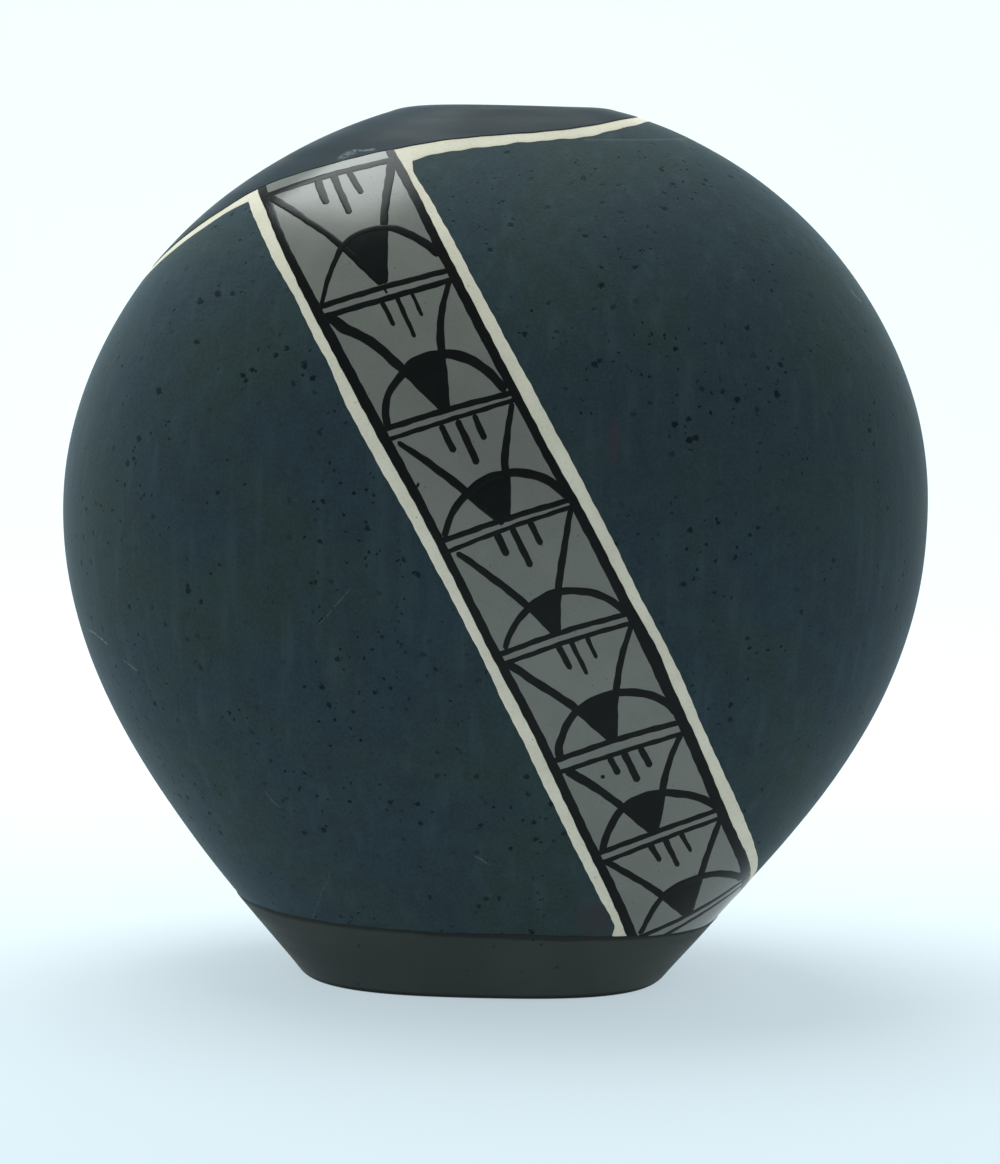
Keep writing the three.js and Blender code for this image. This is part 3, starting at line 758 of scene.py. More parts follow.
def cream_ring():
    """The cream line under the collar. Its upper side runs in under the collar's edge."""
    low = rounded_tip(crossing_heights(cream_edge, low=118, high=LIP_EDGE - 0.5))
    low = np.maximum(low, collar_heights - CREAM_WIDEST)
    heights = rows_between(low, np.minimum(collar_heights + CREAM_UNDER, LIP_EDGE), RING_ROWS)
    return sheet(*coat_rows(heights, LIFTS["cream"]), around=True)


def cream_side(frame_line, field_edge, seed):
    """The cream line beside the band, from the middle of the frame line to the field."""
    d = np.arange(BAND_START + 3, BAND_END, CREAM_STEP)[:, None]
    inner = frame_middle(frame_line, d)
    outer = drawn_line(field_edge, d) + unevenness(d, seed, size=0.12, lengths=(17, 7.3, 3.1))
    points = band_place(inner + (outer - inner) * CREAM_SHARES, d)
    lifts = np.full(points.shape[:2], LIFTS["cream"])
    lifts[:, -1] = 0
    return laid_sheet(points, lifts)


cream_bodies = [cream_ring(), cream_side(LEFT_FRAME, CREAM_LEFT, seed=6),
                cream_side(RIGHT_FRAME, CREAM_RIGHT, seed=7)]
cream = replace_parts(piece("cream_coat", *joined(cream_bodies)), "cream_line")

# %% [markdown]
# ## Brush lines
#
# The black pattern is painted with a fine brush. A bevelled curve would stand proud like a wire. Instead each
# stroke is a narrow net laid along a path: a smooth curve through a few places on the band, with a width at
# each, rounded ends, and sides that waver a little. The paint is slightly domed, highest along the middle.
# Strokes of one kind are one piece, so that each kind can be seen, hidden or repainted by itself.

# %% Stroke helper
STROKE_STEP, FEWEST_STEPS = 0.35, 4
FIRST_STEP = 0.02
DOME = np.array([0.8, 0.97, 1.0, 1.0, 0.97, 0.8])
ACROSS = np.array([-1.0, -0.8, -0.35, 0.35, 0.8, 1.0])
WAVER = 0.05
SIDE_LENGTHS, SWELL_LENGTHS = (9.0, 4.1), (7.0, 3.3)
SWELL_SEED, SWELL_START = 500, 2
BRUSH_SPREAD = 0.1


def brush_path(places):
    """Even steps along a smooth curve through places (a, d, width)."""
    places = np.array(places, float)
    chord = np.concatenate([[0], np.cumsum(np.linalg.norm(np.diff(places[:, :2], axis=0), axis=1))])
    at = np.linspace(0, chord[-1], max(FEWEST_STEPS, math.ceil(chord[-1] / STROKE_STEP) + 1))
    return np.column_stack([drawn_line(np.column_stack([chord, values]), at) for values in places.T])


def stroke(path, seed, lift):
    """A brush stroke along a path on the band."""
    points, half = band_place(path[:, 0], path[:, 1]), (path[:, 2] + BRUSH_SPREAD) / 2
    run = np.concatenate([[0], np.cumsum(np.linalg.norm(np.diff(points, axis=0), axis=1))])
    from_end = np.minimum(run, run[-1] - run) + FIRST_STEP
    half = half * np.sqrt(1 - (1 - np.clip(from_end / half, 0, 1)) ** 2)
    aside = np.cross(np.gradient(points, axis=0), outside.normal(points))
    aside /= np.linalg.norm(aside, axis=1, keepdims=True)
    shift = unevenness(run, seed, WAVER, SIDE_LENGTHS)
    swell = unevenness(run, seed + SWELL_SEED, WAVER, SWELL_LENGTHS) * np.clip(from_end / SWELL_START, 0, 1)
    reach = shift[:, None] + ACROSS * (half + swell)[:, None]
    laid = outside.snap(points[:, None] + aside[:, None] * reach[..., None])
    return laid_sheet(laid, lift * DOME)


sample_path = brush_path([(0, 0, 1), (5, 5, 1), (0, 10, 1)])
print("places along a sample stroke:", len(sample_path))

# %% [markdown]
# ## Frames and double lines
#
# Two black frame lines hold the band, and pairs of lines cut it into seven panels. One line could be repeated
# at even steps, but a hand drew these: they sag or arch a little, and the lower line of a pair was drawn with
# less paint. So each is given by its place down the band at the left, in the middle and at the right, and its
# width.

# %% Frame lines and cross lines
CROSS_LINES = [(-1.3, -0.85, 0.6, 1.7), (31.8, 31.7, 32.2, 1.15), (34.2, 34.3, 34.45, 1.2),
               (60.5, 60.3, 60.7, 1.1), (62.75, 62.35, 62.2, 0.85), (85.3, 84.6, 84.5, 1.05),
               (87.7, 86.45, 85.95, 0.8), (110.7, 109.8, 110.1, 1.0), (112.85, 112.0, 112.1, 0.9),
               (135.8, 135.1, 135.6, 1.15), (138.5, 138.05, 138.2, 0.95), (159.4, 158.5, 158.5, 1.15),
               (161.9, 160.8, 160.7, 1.0), (185.4, 185.0, 183.9, 1.1), (188.9, 187.4, 186.2, 0.95)]

FRAME_STEP, CROSS_STEPS = 0.5, 71
LEFT_SEED, RIGHT_SEED, CROSS_SEED = 11, 12, 40


def frame_stroke(line, seed):
    d = np.arange(BAND_START, BAND_END - 1, FRAME_STEP)
    return stroke(np.column_stack([frame_middle(line, d), d, frame_width(line, d)]), seed, LIFTS["frame"])


def cross_stroke(number):
    left, middle, right, width = CROSS_LINES[number]
    share = np.linspace(-1, 1, CROSS_STEPS)
    d = drawn_line([(-1, left), (0, middle), (1, right)], share)
    reach = np.where(share < 0, -frame_middle(LEFT_FRAME, d), frame_middle(RIGHT_FRAME, d))
    path = np.column_stack([share * reach, d, np.full(len(share), width)])
    return stroke(path, CROSS_SEED + number, LIFTS["cross"])


frame_bodies = [frame_stroke(LEFT_FRAME, LEFT_SEED), frame_stroke(RIGHT_FRAME, RIGHT_SEED)]
frame_lines = piece("frame_lines", *joined(frame_bodies))
cross_lines = piece("cross_lines", *joined([cross_stroke(number) for number in range(len(CROSS_LINES))]))

# %% [markdown]
# ## The figure in each panel
#
# Every panel holds the same traditional figure: two diagonals that run from the upper corners to one tip on
# the line below, a cloud arc across them, the wedge between them filled with black, and three rain strokes
# hanging from the line above. One figure could be copied down the band, but the seven are alike and never the
# same. So each is drawn by the same few functions from places of its own, (a, d, width), that follow the
# painter's hand. A rain stroke is two places, and the rest are curves through several.

# %% Places of the panel figures
PANELS = [
    dict(left=[(-13.3, -0.2, 1.5), (-11.2, 3.2, 1.6), (-9.6, 6.1, 1.5), (-7.4, 10.5, 1.3),
               (-4.4, 16.6, 1.3), (-3.4, 19.3, 1.3), (0.2, 31.0, 1.1)],
         right=[(14.2, 0.3, 1.5), (12.4, 5.0, 1.8), (9.45, 10.9, 1.6), (6.95, 16.4, 1.5),
                (6.1, 18.6, 1.4), (1.0, 31.0, 1.1)],
         arc=[(-12.6, 31.5, 0.8), (-10.1, 27.8, 0.9), (-6.5, 23.2, 1.0), (-3.3, 19.8, 1.2),
              (0.8, 17.7, 1.2), (3.3, 17.5, 1.2), (7.2, 18.6, 1.5), (10.8, 22.5, 1.7), (12.2, 25.0, 1.7),
              (13.5, 28.4, 1.6)],
         rain=[(-1.9, -0.4, 1.7), (-2.15, 7.6, 1.4), (1.75, -0.4, 1.5), (1.3, 12.1, 1.25),
               (5.1, 0.0, 1.3), (5.4, 7.7, 1.1)]),
    dict(left=[(-12.6, 34.2, 1.6), (-11.5, 36.2, 2.1), (-10.6, 38.0, 2.1), (-8.95, 39.8, 1.9),
               (-7.1, 42.5, 1.85), (-5.8, 45.2, 1.8), (-4.9, 47.7, 1.8), (-4.2, 49.6, 1.6),
               (-0.85, 60.3, 1.0)],
         right=[(12.9, 34.3, 1.0), (10.4, 37.5, 1.05), (8.8, 39.8, 1.2), (7.2, 42.5, 1.35),
                (5.8, 45.2, 1.5), (4.6, 48.2, 1.5), (0.0, 60.3, 1.0)],
         arc=[(-12.3, 60.2, 1.4), (-11.4, 57.6, 1.4), (-10.2, 55.4, 1.35), (-8.5, 53.4, 1.35),
              (-4.6, 50.7, 1.5), (-2.4, 49.3, 1.6), (1.3, 48.6, 1.6), (4.0, 48.9, 1.6), (6.3, 49.9, 1.95),
              (8.5, 51.6, 2.0), (10.1, 53.9, 1.8), (11.1, 56.4, 1.7), (11.9, 60.0, 1.6)],
         rain=[(-1.35, 34.6, 0.85), (-1.45, 40.5, 0.8), (1.8, 34.6, 0.85), (1.1, 44.1, 0.75),
               (4.8, 34.7, 0.65), (4.5, 40.2, 0.6)]),
    dict(left=[(-11.9, 63.7, 0.8), (-10.3, 66.4, 1.2), (-8.95, 68.6, 1.3), (-7.6, 71.1, 1.45),
               (-6.0, 74.1, 1.55), (-4.6, 77.3, 1.5), (-1.4, 84.6, 1.3)],
         right=[(12.0, 62.6, 0.9), (9.9, 65.7, 1.1), (8.3, 68.2, 1.2), (6.7, 70.7, 1.35),
                (5.1, 73.4, 1.5), (4.2, 76.0, 1.4), (0.1, 84.6, 1.3)],
         arc=[(-12.8, 84.6, 1.2), (-10.8, 82.3, 1.2), (-8.95, 80.4, 1.25), (-6.9, 78.9, 1.35),
              (-5.1, 77.8, 1.4), (-1.0, 76.0, 1.35), (1.7, 75.6, 1.35), (4.0, 75.8, 1.4),
              (6.3, 76.3, 1.6), (8.5, 77.5, 1.7), (10.4, 78.9, 1.7), (11.8, 81.0, 1.6),
              (12.8, 84.0, 1.5)],
         rain=[(-2.7, 62.8, 1.1), (-2.9, 68.9, 1.3), (0.7, 62.8, 1.2), (0.05, 72.5, 1.35),
               (4.1, 62.7, 1.0), (3.7, 68.2, 1.2)]),
    dict(left=[(-12.0, 88.3, 1.0), (-10.3, 91.2, 1.25), (-8.7, 94.1, 1.3), (-7.1, 97.1, 1.4),
               (-5.8, 99.8, 1.4), (-4.4, 102.8, 1.35), (-2.2, 109.7, 1.1)],
         right=[(12.4, 86.2, 1.0), (9.9, 89.8, 1.1), (8.1, 92.5, 1.2), (6.3, 95.3, 1.3),
                (4.5, 98.0, 1.35), (2.3, 101.6, 1.4), (-1.6, 109.7, 1.1)],
         arc=[(-12.6, 109.9, 1.0), (-10.8, 107.8, 1.05), (-8.95, 106.1, 1.15), (-6.9, 104.6, 1.25),
              (-4.9, 103.4, 1.3), (-2.8, 102.4, 1.3), (-0.5, 101.8, 1.3), (1.7, 101.6, 1.3),
              (4.0, 102.0, 1.35), (6.3, 102.8, 1.4), (8.3, 103.9, 1.4), (10.1, 105.5, 1.4),
              (11.4, 107.3, 1.35), (12.5, 109.8, 1.3)],
         rain=[(-3.1, 86.7, 1.45), (-3.35, 91.8, 1.3), (0.15, 86.5, 1.2), (-0.2, 95.3, 1.2),
               (3.8, 86.3, 1.1), (3.7, 91.6, 1.1)]),
    dict(left=[(-13.6, 112.8, 1.4), (-11.6, 115.7, 1.6), (-10.5, 117.8, 1.6), (-8.7, 120.5, 1.6),
               (-7.1, 123.0, 1.55), (-5.8, 125.3, 1.55), (-5.0, 127.2, 1.4), (-1.9, 135.1, 1.1)],
         right=[(12.7, 112.2, 1.0), (10.4, 114.8, 1.05), (8.3, 117.4, 1.15), (6.3, 120.3, 1.25),
                (4.7, 122.8, 1.3), (3.3, 125.2, 1.3), (-1.35, 135.1, 1.1)],
         arc=[(-13.0, 135.5, 1.7), (-11.9, 132.8, 1.55), (-10.3, 130.8, 1.45), (-8.3, 128.7, 1.4),
              (-6.2, 127.1, 1.4), (-4.2, 126.1, 1.4), (-1.5, 125.4, 1.4), (0.8, 125.2, 1.4),
              (3.5, 125.3, 1.45), (5.8, 126.0, 1.55), (8.1, 127.1, 1.6), (9.9, 128.5, 1.55),
              (11.3, 130.1, 1.5), (12.6, 133.6, 1.5)],
         rain=[(-2.7, 112.2, 1.25), (-2.7, 117.8, 1.0), (-0.05, 112.1, 1.0), (-0.2, 119.8, 0.7),
               (3.15, 112.2, 0.9), (3.0, 117.1, 0.65)]),
    dict(left=[(-12.9, 138.3, 1.9), (-11.2, 141.0, 1.9), (-9.6, 143.5, 1.7), (-8.05, 146.2, 1.55),
               (-6.5, 149.4, 1.45), (-2.8, 158.5, 1.1)],
         right=[(11.5, 138.2, 1.2), (8.8, 141.0, 1.1), (6.95, 143.3, 1.2), (5.1, 145.8, 1.35),
                (3.5, 148.3, 1.45), (2.7, 149.9, 1.45), (-2.1, 158.5, 1.1)],
         arc=[(-13.9, 159.2, 1.35), (-12.4, 156.7, 1.45), (-10.5, 154.4, 1.5), (-8.5, 152.4, 1.5),
              (-6.5, 150.8, 1.45), (-4.2, 149.7, 1.4), (-1.5, 149.3, 1.4), (1.3, 149.5, 1.45),
              (3.5, 150.2, 1.55), (5.8, 151.4, 1.65), (8.1, 152.9, 1.6), (9.9, 154.6, 1.55),
              (11.3, 156.5, 1.5), (12.3, 158.4, 1.4)],
         rain=[(-3.8, 138.2, 1.2), (-3.8, 142.8, 1.3), (-0.75, 138.1, 1.35), (-0.85, 145.7, 1.4),
               (2.7, 138.2, 1.2), (2.8, 143.3, 1.3)]),
    dict(left=[(-14.4, 161.6, 1.3), (-11.7, 165.8, 1.4), (-9.9, 168.95, 1.35), (-8.3, 171.7, 1.4),
               (-6.6, 175.3, 1.5), (-2.7, 185.4, 1.0)],
         right=[(11.7, 161.1, 1.3), (9.45, 164.2, 1.4), (7.6, 166.9, 1.4), (5.8, 169.6, 1.45),
                (4.5, 171.9, 1.5), (3.1, 174.4, 1.5), (-1.9, 185.4, 1.0)],
         arc=[(-14.4, 184.5, 1.2), (-12.6, 182.4, 1.2), (-10.8, 180.1, 1.25), (-8.7, 177.8, 1.35),
              (-6.9, 176.2, 1.4), (-5.1, 175.2, 1.45), (-2.4, 174.4, 1.5), (0.4, 174.2, 1.5),
              (3.1, 174.5, 1.55), (5.8, 175.3, 1.6), (8.1, 176.5, 1.65), (10.4, 178.3, 1.7),
              (12.2, 180.1, 1.65), (14.0, 182.7, 1.6)],
         rain=[(-4.3, 160.9, 1.3), (-3.9, 166.2, 0.95), (-1.0, 160.9, 1.2), (-0.8, 169.2, 0.9),
               (2.55, 160.9, 1.1), (3.1, 166.6, 0.6)]),
]
print("panels:", len(PANELS))

# %% Panel figures
STRAY_MARKS = [[(-7.25, 142.5, 0.8), (-6.5, 141.95, 0.9)], [(-12.9, 73.6, 0.4), (-12.1, 72.7, 0.45)],
               [(0.4, 31.9, 0.5), (0.45, 33.3, 0.3)], [(-1.4, 84.7, 1.6), (-1.0, 85.4, 1.2)]]

SEEDS = dict(left=80, right=90, arc=110, rain=140, stray=170)


def strokes(paths, kind, lift):
    """A stroke through each list of places, each with a seed of its own."""
    return [stroke(brush_path(path), SEEDS[kind] + number, LIFTS[lift]) for number, path in enumerate(paths)]


diagonals = [body for side in ("left", "right")
             for body in strokes([panel[side] for panel in PANELS], side, "diagonal")]
rain_pairs = [panel["rain"][k:k + 2] for panel in PANELS for k in (0, 2, 4)]
diagonal_lines = piece("diagonal_lines", *joined(diagonals))
cloud_arcs = piece("cloud_arcs", *joined(strokes([panel["arc"] for panel in PANELS], "arc", "arc")))
rain_strokes = piece("rain_strokes", *joined(strokes(rain_pairs, "rain", "frame")))
stray_marks = piece("stray_marks", *joined(strokes(STRAY_MARKS, "stray", "diagonal")))

# %% [markdown]
# The wedge is what lies between the two diagonals and the arc. It could be cut out of the band with booleans,
# but they leave ragged triangles. It is filled with a net instead: the arc is its top row, the diagonals are
# its sides, and the rows between them flatten towards the tip.

# %% Filled wedges
WEDGE_STEPS = 15


def meeting(path, other):
    """The step of a path at which it comes nearest to another path."""
    gaps = np.linalg.norm(path[:, None, :2] - other[None, :, :2], axis=-1)
    return int(gaps.min(axis=1).argmin())


def even_steps(path):
    """A stretch of a path in as many places as the wedge has rows."""
    at = np.linspace(0, len(path) - 1, WEDGE_STEPS)
    return np.column_stack([np.interp(at, np.arange(len(path)), values) for values in path[:, :2].T])


def wedge(panel):
    left, right, arc = (brush_path(panel[key]) for key in ("left", "right", "arc"))
    top = even_steps(arc[meeting(arc, left):meeting(arc, right) + 1])
    left_side = even_steps(left[meeting(left, arc):])
    right_side = even_steps(right[meeting(right, arc):])
    u = np.linspace(0, 1, WEDGE_STEPS)[None, :, None]
    down = np.linspace(0, 1, WEDGE_STEPS)[:, None, None]
    rise = top[None] - (top[:1] * (1 - u) + top[-1:] * u)
    net = left_side[:, None] * (1 - u) + right_side[:, None] * u + rise * (1 - down)
    return laid_sheet(band_place(net[..., 0], net[..., 1]), LIFTS["wedge"])


filled_wedges = piece("filled_wedges", *joined([wedge(panel) for panel in PANELS]))
linework = [frame_lines, cross_lines, diagonal_lines, cloud_arcs, filled_wedges, rain_strokes, stray_marks]
for painted in linework:
    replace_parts(painted, "band_linework")

# %% [markdown]
# ## Writing shader maths
#
# A procedural material is mostly sums on masks. Wiring Math nodes by hand hides the sum, so one small class
# wraps a socket and lets Python's own signs add the nodes. A mask is a value from 0 to 1, and the stronger of
# two masks is written with a bar.

# %% Sums on sockets
class Wire:
    """An output socket. Arithmetic on it adds Math nodes."""

    def __init__(self, finish, socket):
        self.finish, self.socket = finish, socket

    def maths(self, operation, *values):
        return self.finish.node("ShaderNodeMath", {"operation": operation}, dict(enumerate(values)))

    def __add__(self, other):
        return self.maths("ADD", self, other)

    def __sub__(self, other):
        return self.maths("SUBTRACT", self, other)

    def __rsub__(self, other):
        return self.maths("SUBTRACT", other, self)

    def __mul__(self, other):
        return self.maths("MULTIPLY", self, other)

    def __or__(self, other):
        """The stronger of two masks."""
        return self.maths("MAXIMUM", self, other)

    def __abs__(self):
        return self.maths("ABSOLUTE", self)

    __radd__ = __add__
    __rmul__ = __mul__
    __ror__ = __or__

    def ramp(self, low, high):
        """0 below low, 1 above high, and smooth between. low may be the greater."""
        sockets = {"Value": self, "From Min": low, "From Max": high}
        return self.finish.node("ShaderNodeMapRange", {"interpolation_type": "SMOOTHSTEP"}, sockets)


# %% [markdown]
# Any other node comes from one method, which takes the node's type, its settings, and the values or links of
# its sockets. The finishes of this pot are all made of the same few things: patches of noise, spots where
# grit fell out, thin scratches, and a bump. So each of these is a method with its size in millimetres. A
# library of node groups would do as well, but a sum in Python is easier to read and to change.

# %% A finish under construction
SPOT_CORE, SCRATCH_CORE = 0.5, 0.3
SWAY, SWAY_LENGTH = 1.6, 6.0
FADE_OUT, FADE_IN = 0.5, 0.8


class Finish:
    """A material under construction, in the piece's own millimetres."""

    def __init__(self, name):
        self.material = bpy.data.materials.new(name)
        self.material.use_nodes = True
        self.tree = self.material.node_tree
        self.tree.nodes.clear()
        output = self.tree.nodes.new("ShaderNodeOutputMaterial")
        self.shader = self.tree.nodes.new("ShaderNodeBsdfPrincipled")
        self.tree.links.new(self.shader.outputs[0], output.inputs["Surface"])
        place = self.node("ShaderNodeTexCoord", out="Object")
        self.place = self.node("ShaderNodeVectorMath", {"operation": "SCALE"}, {0: place, "Scale": 1 / MM})

    def node(self, kind, settings=None, sockets=None, out=0):
        made = self.tree.nodes.new(kind)
        for key, value in (settings or {}).items():
            setattr(made, key, value)
        for key, value in (sockets or {}).items():
            self.give(made.inputs[key], value)
        return Wire(self, made.outputs[out])

    def give(self, socket, value):
        """Links a wire to a socket, or sets the socket's own number or colour."""
        if isinstance(value, Wire):
            self.tree.links.new(value.socket, socket)
        else:
            socket.default_value = value

    def along(self, axis):
        """The distance along X, Y or Z, in mm."""
        return self.node("ShaderNodeSeparateXYZ", {}, {0: self.place}, out=axis)

    def noise(self, length, detail=3.0, roughness=0.5, place=None, twist=0.0, out=0):
        """Noise from 0 to 1 whose patches are about that many mm across."""
        sockets = {"Vector": place or self.place, "Scale": 1 / length, "Detail": detail,
                   "Roughness": roughness, "Distortion": twist}
        return self.node("ShaderNodeTexNoise", {"noise_dimensions": "3D"}, sockets, out)

    def stretched(self, x, y, z):
        """Places squeezed along each way, so that a texture on them is stretched."""
        return self.node("ShaderNodeVectorMath", {"operation": "MULTIPLY"}, {0: self.place, 1: (x, y, z)})

    def shaken(self, amount, length):
        """Places shaken by up to half the amount, which makes the edges of a spot ragged."""
        shake = self.node("ShaderNodeVectorMath", {"operation": "SUBTRACT"},
                          {0: self.noise(length, detail=2, out="Color"), 1: (0.5, 0.5, 0.5)})
        sockets = {0: shake, 1: (amount, amount, amount), 2: self.place}
        return self.node("ShaderNodeVectorMath", {"operation": "MULTIPLY_ADD"}, sockets)

    def mix(self, share, first, second):
        """The second colour over the first, by a share from 0 to 1."""
        sockets = {"Factor": share, 6: first, 7: second}
        return self.node("ShaderNodeMix", {"data_type": "RGBA"}, sockets, out=2)

    def specks(self, spacing, radius, softness=0.4, place=None):
        """1 in round spots scattered through the clay. The wall cuts them anywhere, so they vary in size."""
        sockets = {"Vector": place or self.place, "Scale": 1 / spacing}
        distance = self.node("ShaderNodeTexVoronoi", {"feature": "F1"}, sockets, out="Distance")
        return distance.ramp(radius / spacing, radius * (1 - softness) / spacing)

    def spot(self, place, x, z, radius):
        """1 at a place given as it is seen from the front, fading to 0 at the radius."""
        flat = self.node("ShaderNodeVectorMath", {"operation": "MULTIPLY"}, {0: place, 1: (1, 0, 1)})
        ends = {0: flat, 1: (x, 0, z)}
        distance = self.node("ShaderNodeVectorMath", {"operation": "DISTANCE"}, ends, out="Value")
        return distance.ramp(radius, radius * SPOT_CORE)

    def scratch(self, x0, z0, x1, z1, half_width):
        """1 along a thin mark between two places as seen from the front."""
        length = math.hypot(x1 - x0, z1 - z0)
        run_x, run_z = (x1 - x0) / length, (z1 - z0) / length
        dx, dz = self.along("X") - x0, self.along("Z") - z0
        along = dx * run_x + dz * run_z
        sway = (self.noise(SWAY_LENGTH, detail=1) - 0.5) * SWAY
        aside = dx * run_z - dz * run_x + sway
        ends = along.ramp(-FADE_OUT, FADE_IN) * along.ramp(length + FADE_OUT, length - FADE_IN)
        return abs(aside).ramp(half_width, half_width * SCRATCH_CORE) * ends

    def dress(self, **values):
        """Sets or links the shader's sockets by name, with _ for a space."""
        for key, value in values.items():
            self.give(self.shader.inputs[key.replace("_", " ")], value)

    def bump(self, height, distance, strength=1.0):
        """Bump from a height of 0 to 1, which stands for a distance in mm."""
        sockets = {"Height": height, "Distance": distance * MM, "Strength": strength}
        self.give(self.shader.inputs["Normal"], self.node("ShaderNodeBump", {}, sockets))

    def done(self):
        print(self.material.name, "has", len(self.tree.nodes), "nodes")
        return self.material


def light_value(shade):
    """The share of light behind a shade on screen, 0 to 255."""
    return ((shade / 255 + 0.055) / 1.055) ** 2.4 if shade > 10 else shade / 255 / 12.92


def colour(red, green, blue):
    """A colour as it looks on screen, as the light values and the opacity that a socket takes."""
    return light_value(red), light_value(green), light_value(blue), 1.0


print("middle grey on screen is", round(light_value(128), 3), "of white's light")

# %% [markdown]
# ## Matt field
#
# The field is slip that was never polished. Smoke from the firing turned it blue-black, with olive clouds
# where the smoke was thinner. It is full of small pits in loose crowds, where grit was dragged out by the
# scraper, and it has faint upright streaks and a few pale scratches. The pits are pressed in by a bump, and
# their near-black colour is painted shade in these hollows. These marks could be painted on an image, but
# noise needs no flattening of the wall and stays sharp at any distance. Each of them is a mask of its own,
# mixed in turn, and the larger pits and scratches are placed one by one. A matt skin scatters nearly all
# light, so its mirror-like part is turned down.

# %% Matt clay
PITS = [(-67.8, 125.2, 0.9), (-38.0, 131.2, 0.8), (-36.2, 129.0, 0.8), (-48.5, 130.2, 0.7),
        (-50.5, 129.0, 0.7), (-60.2, 135.2, 0.8), (20.2, 148.2, 0.9), (35.0, 121.5, 0.8),
        (38.0, 118.5, 1.0), (55.5, 127.5, 0.9), (49.5, 140.5, 0.7), (35.0, 136.2, 0.7),
        (47.5, 126.5, 0.8), (-56.5, 144.8, 0.9), (-60.0, 143.2, 0.8)]
SCRATCHES = [(-34.5, 80.5, -28.0, 88.0, 0.14, 0.35), (-45.5, 44.5, -42.5, 41.2, 0.16, 0.35),
             (-32.0, 28.0, -36.5, 15.5, 0.18, 0.2), (-84.0, 74.5, -79.2, 72.5, 0.3, 0.7),
             (-75.5, 69.6, -72.0, 67.6, 0.25, 0.45), (-2.5, 33.0, 0.5, 31.0, 0.2, 0.5),
             (72.5, 148.5, 75.0, 145.5, 0.2, 0.5)]

TALL_STAIN, TALLNESS = (23.1, 118.2, 1.5), 4
ROUND_STAIN = (22.0, 19.0, 5.0)


def matt_clay():
    finish = Finish("matt_clay")
    in_front = finish.along("Y").ramp(-5, -15)
    clouds = finish.noise(34, detail=4, roughness=0.55, twist=0.6)
    small_clouds = finish.noise(5, detail=5, roughness=0.62)
    grain = finish.noise(0.6, detail=2)
    streaks = finish.noise(3.0, detail=3, place=finish.stretched(1.0, 1.0, 0.09))
    base = finish.mix(clouds.ramp(0.4, 0.62), colour(38, 49, 56), colour(42, 52, 49))
    base = finish.mix(small_clouds.ramp(0.35, 0.7) * 0.5, base, colour(46, 61, 65))
    base = finish.mix(streaks.ramp(0.5, 0.75) * 0.4, base, colour(57, 71, 74))
    base = finish.mix(grain.ramp(0.35, 0.7) * 0.4, base, colour(51, 66, 70))
    x, z, radius = TALL_STAIN
    stain = finish.spot(finish.stretched(1, 1, 1 / TALLNESS), x, z / TALLNESS, radius)
    stain = stain | finish.spot(finish.place, *ROUND_STAIN)
    base = finish.mix(stain * in_front * 0.4, base, colour(62, 46, 50))
    shaken = finish.shaken(1.3, 0.7)
    crowds = finish.noise(14, detail=1).ramp(0.42, 0.6)
    pits = finish.specks(4.3, 0.75, place=shaken) * (0.25 + 0.65 * crowds)
    pits = pits | finish.specks(2.2, 0.4, place=shaken) * crowds
    pits = reduce(or_, [finish.spot(shaken, *pit) for pit in PITS], pits)
    # The pits are made near black: painted shade inside these small hollows, which the bump below presses in.
    base = finish.mix(pits * 0.88, base, colour(3, 8, 8))
    marks = reduce(or_, [finish.scratch(*place) * strength for *place, strength in SCRATCHES])
    base = finish.mix(marks * in_front * grain.ramp(0.35, 0.6), base, colour(118, 126, 122))
    rough = 0.6 + 0.12 * small_clouds - 0.05 * streaks
    finish.dress(Base_Color=base, Roughness=rough, Specular_IOR_Level=0.12, Sheen_Weight=0.12,
                 Sheen_Roughness=0.5, Specular_Tint=colour(185, 222, 238), Sheen_Tint=colour(205, 232, 242))
    finish.bump(0.3 * grain + 0.4 * small_clouds - 0.6 * pits, 0.25, 0.7)
    return finish.done()


clay_finish = matt_clay()

# %% [markdown]
# ## Polished slips
#
# The collar and the foot were rubbed with a smooth stone while damp. The stone leaves level streaks and a
# soft gloss, bluish on the collar and olive on the foot. A darker line along the foot's upper edge is painted
# shade of the small step where the coat meets the field, and a dark rim low down is painted shade where the
# foot meets the floor. A clear coat over the clay would look like glaze, which such a pot never has, so the
# gloss is the slip's own, and one function makes both. The grey slip of the band is finer and was rubbed
# with a cloth, which leaves a satin shine without streaks.

# %% Burnished collar and foot, satin band
# Height in mm of the painted shade line under the foot coat's upper edge, and how much it falls per mm to the
# right.
FOOT_SHADE_LINE_HEIGHT, FOOT_SHADE_LINE_FALL = 15.3, 0.03
ABOVE_FOOT = (60, 40)


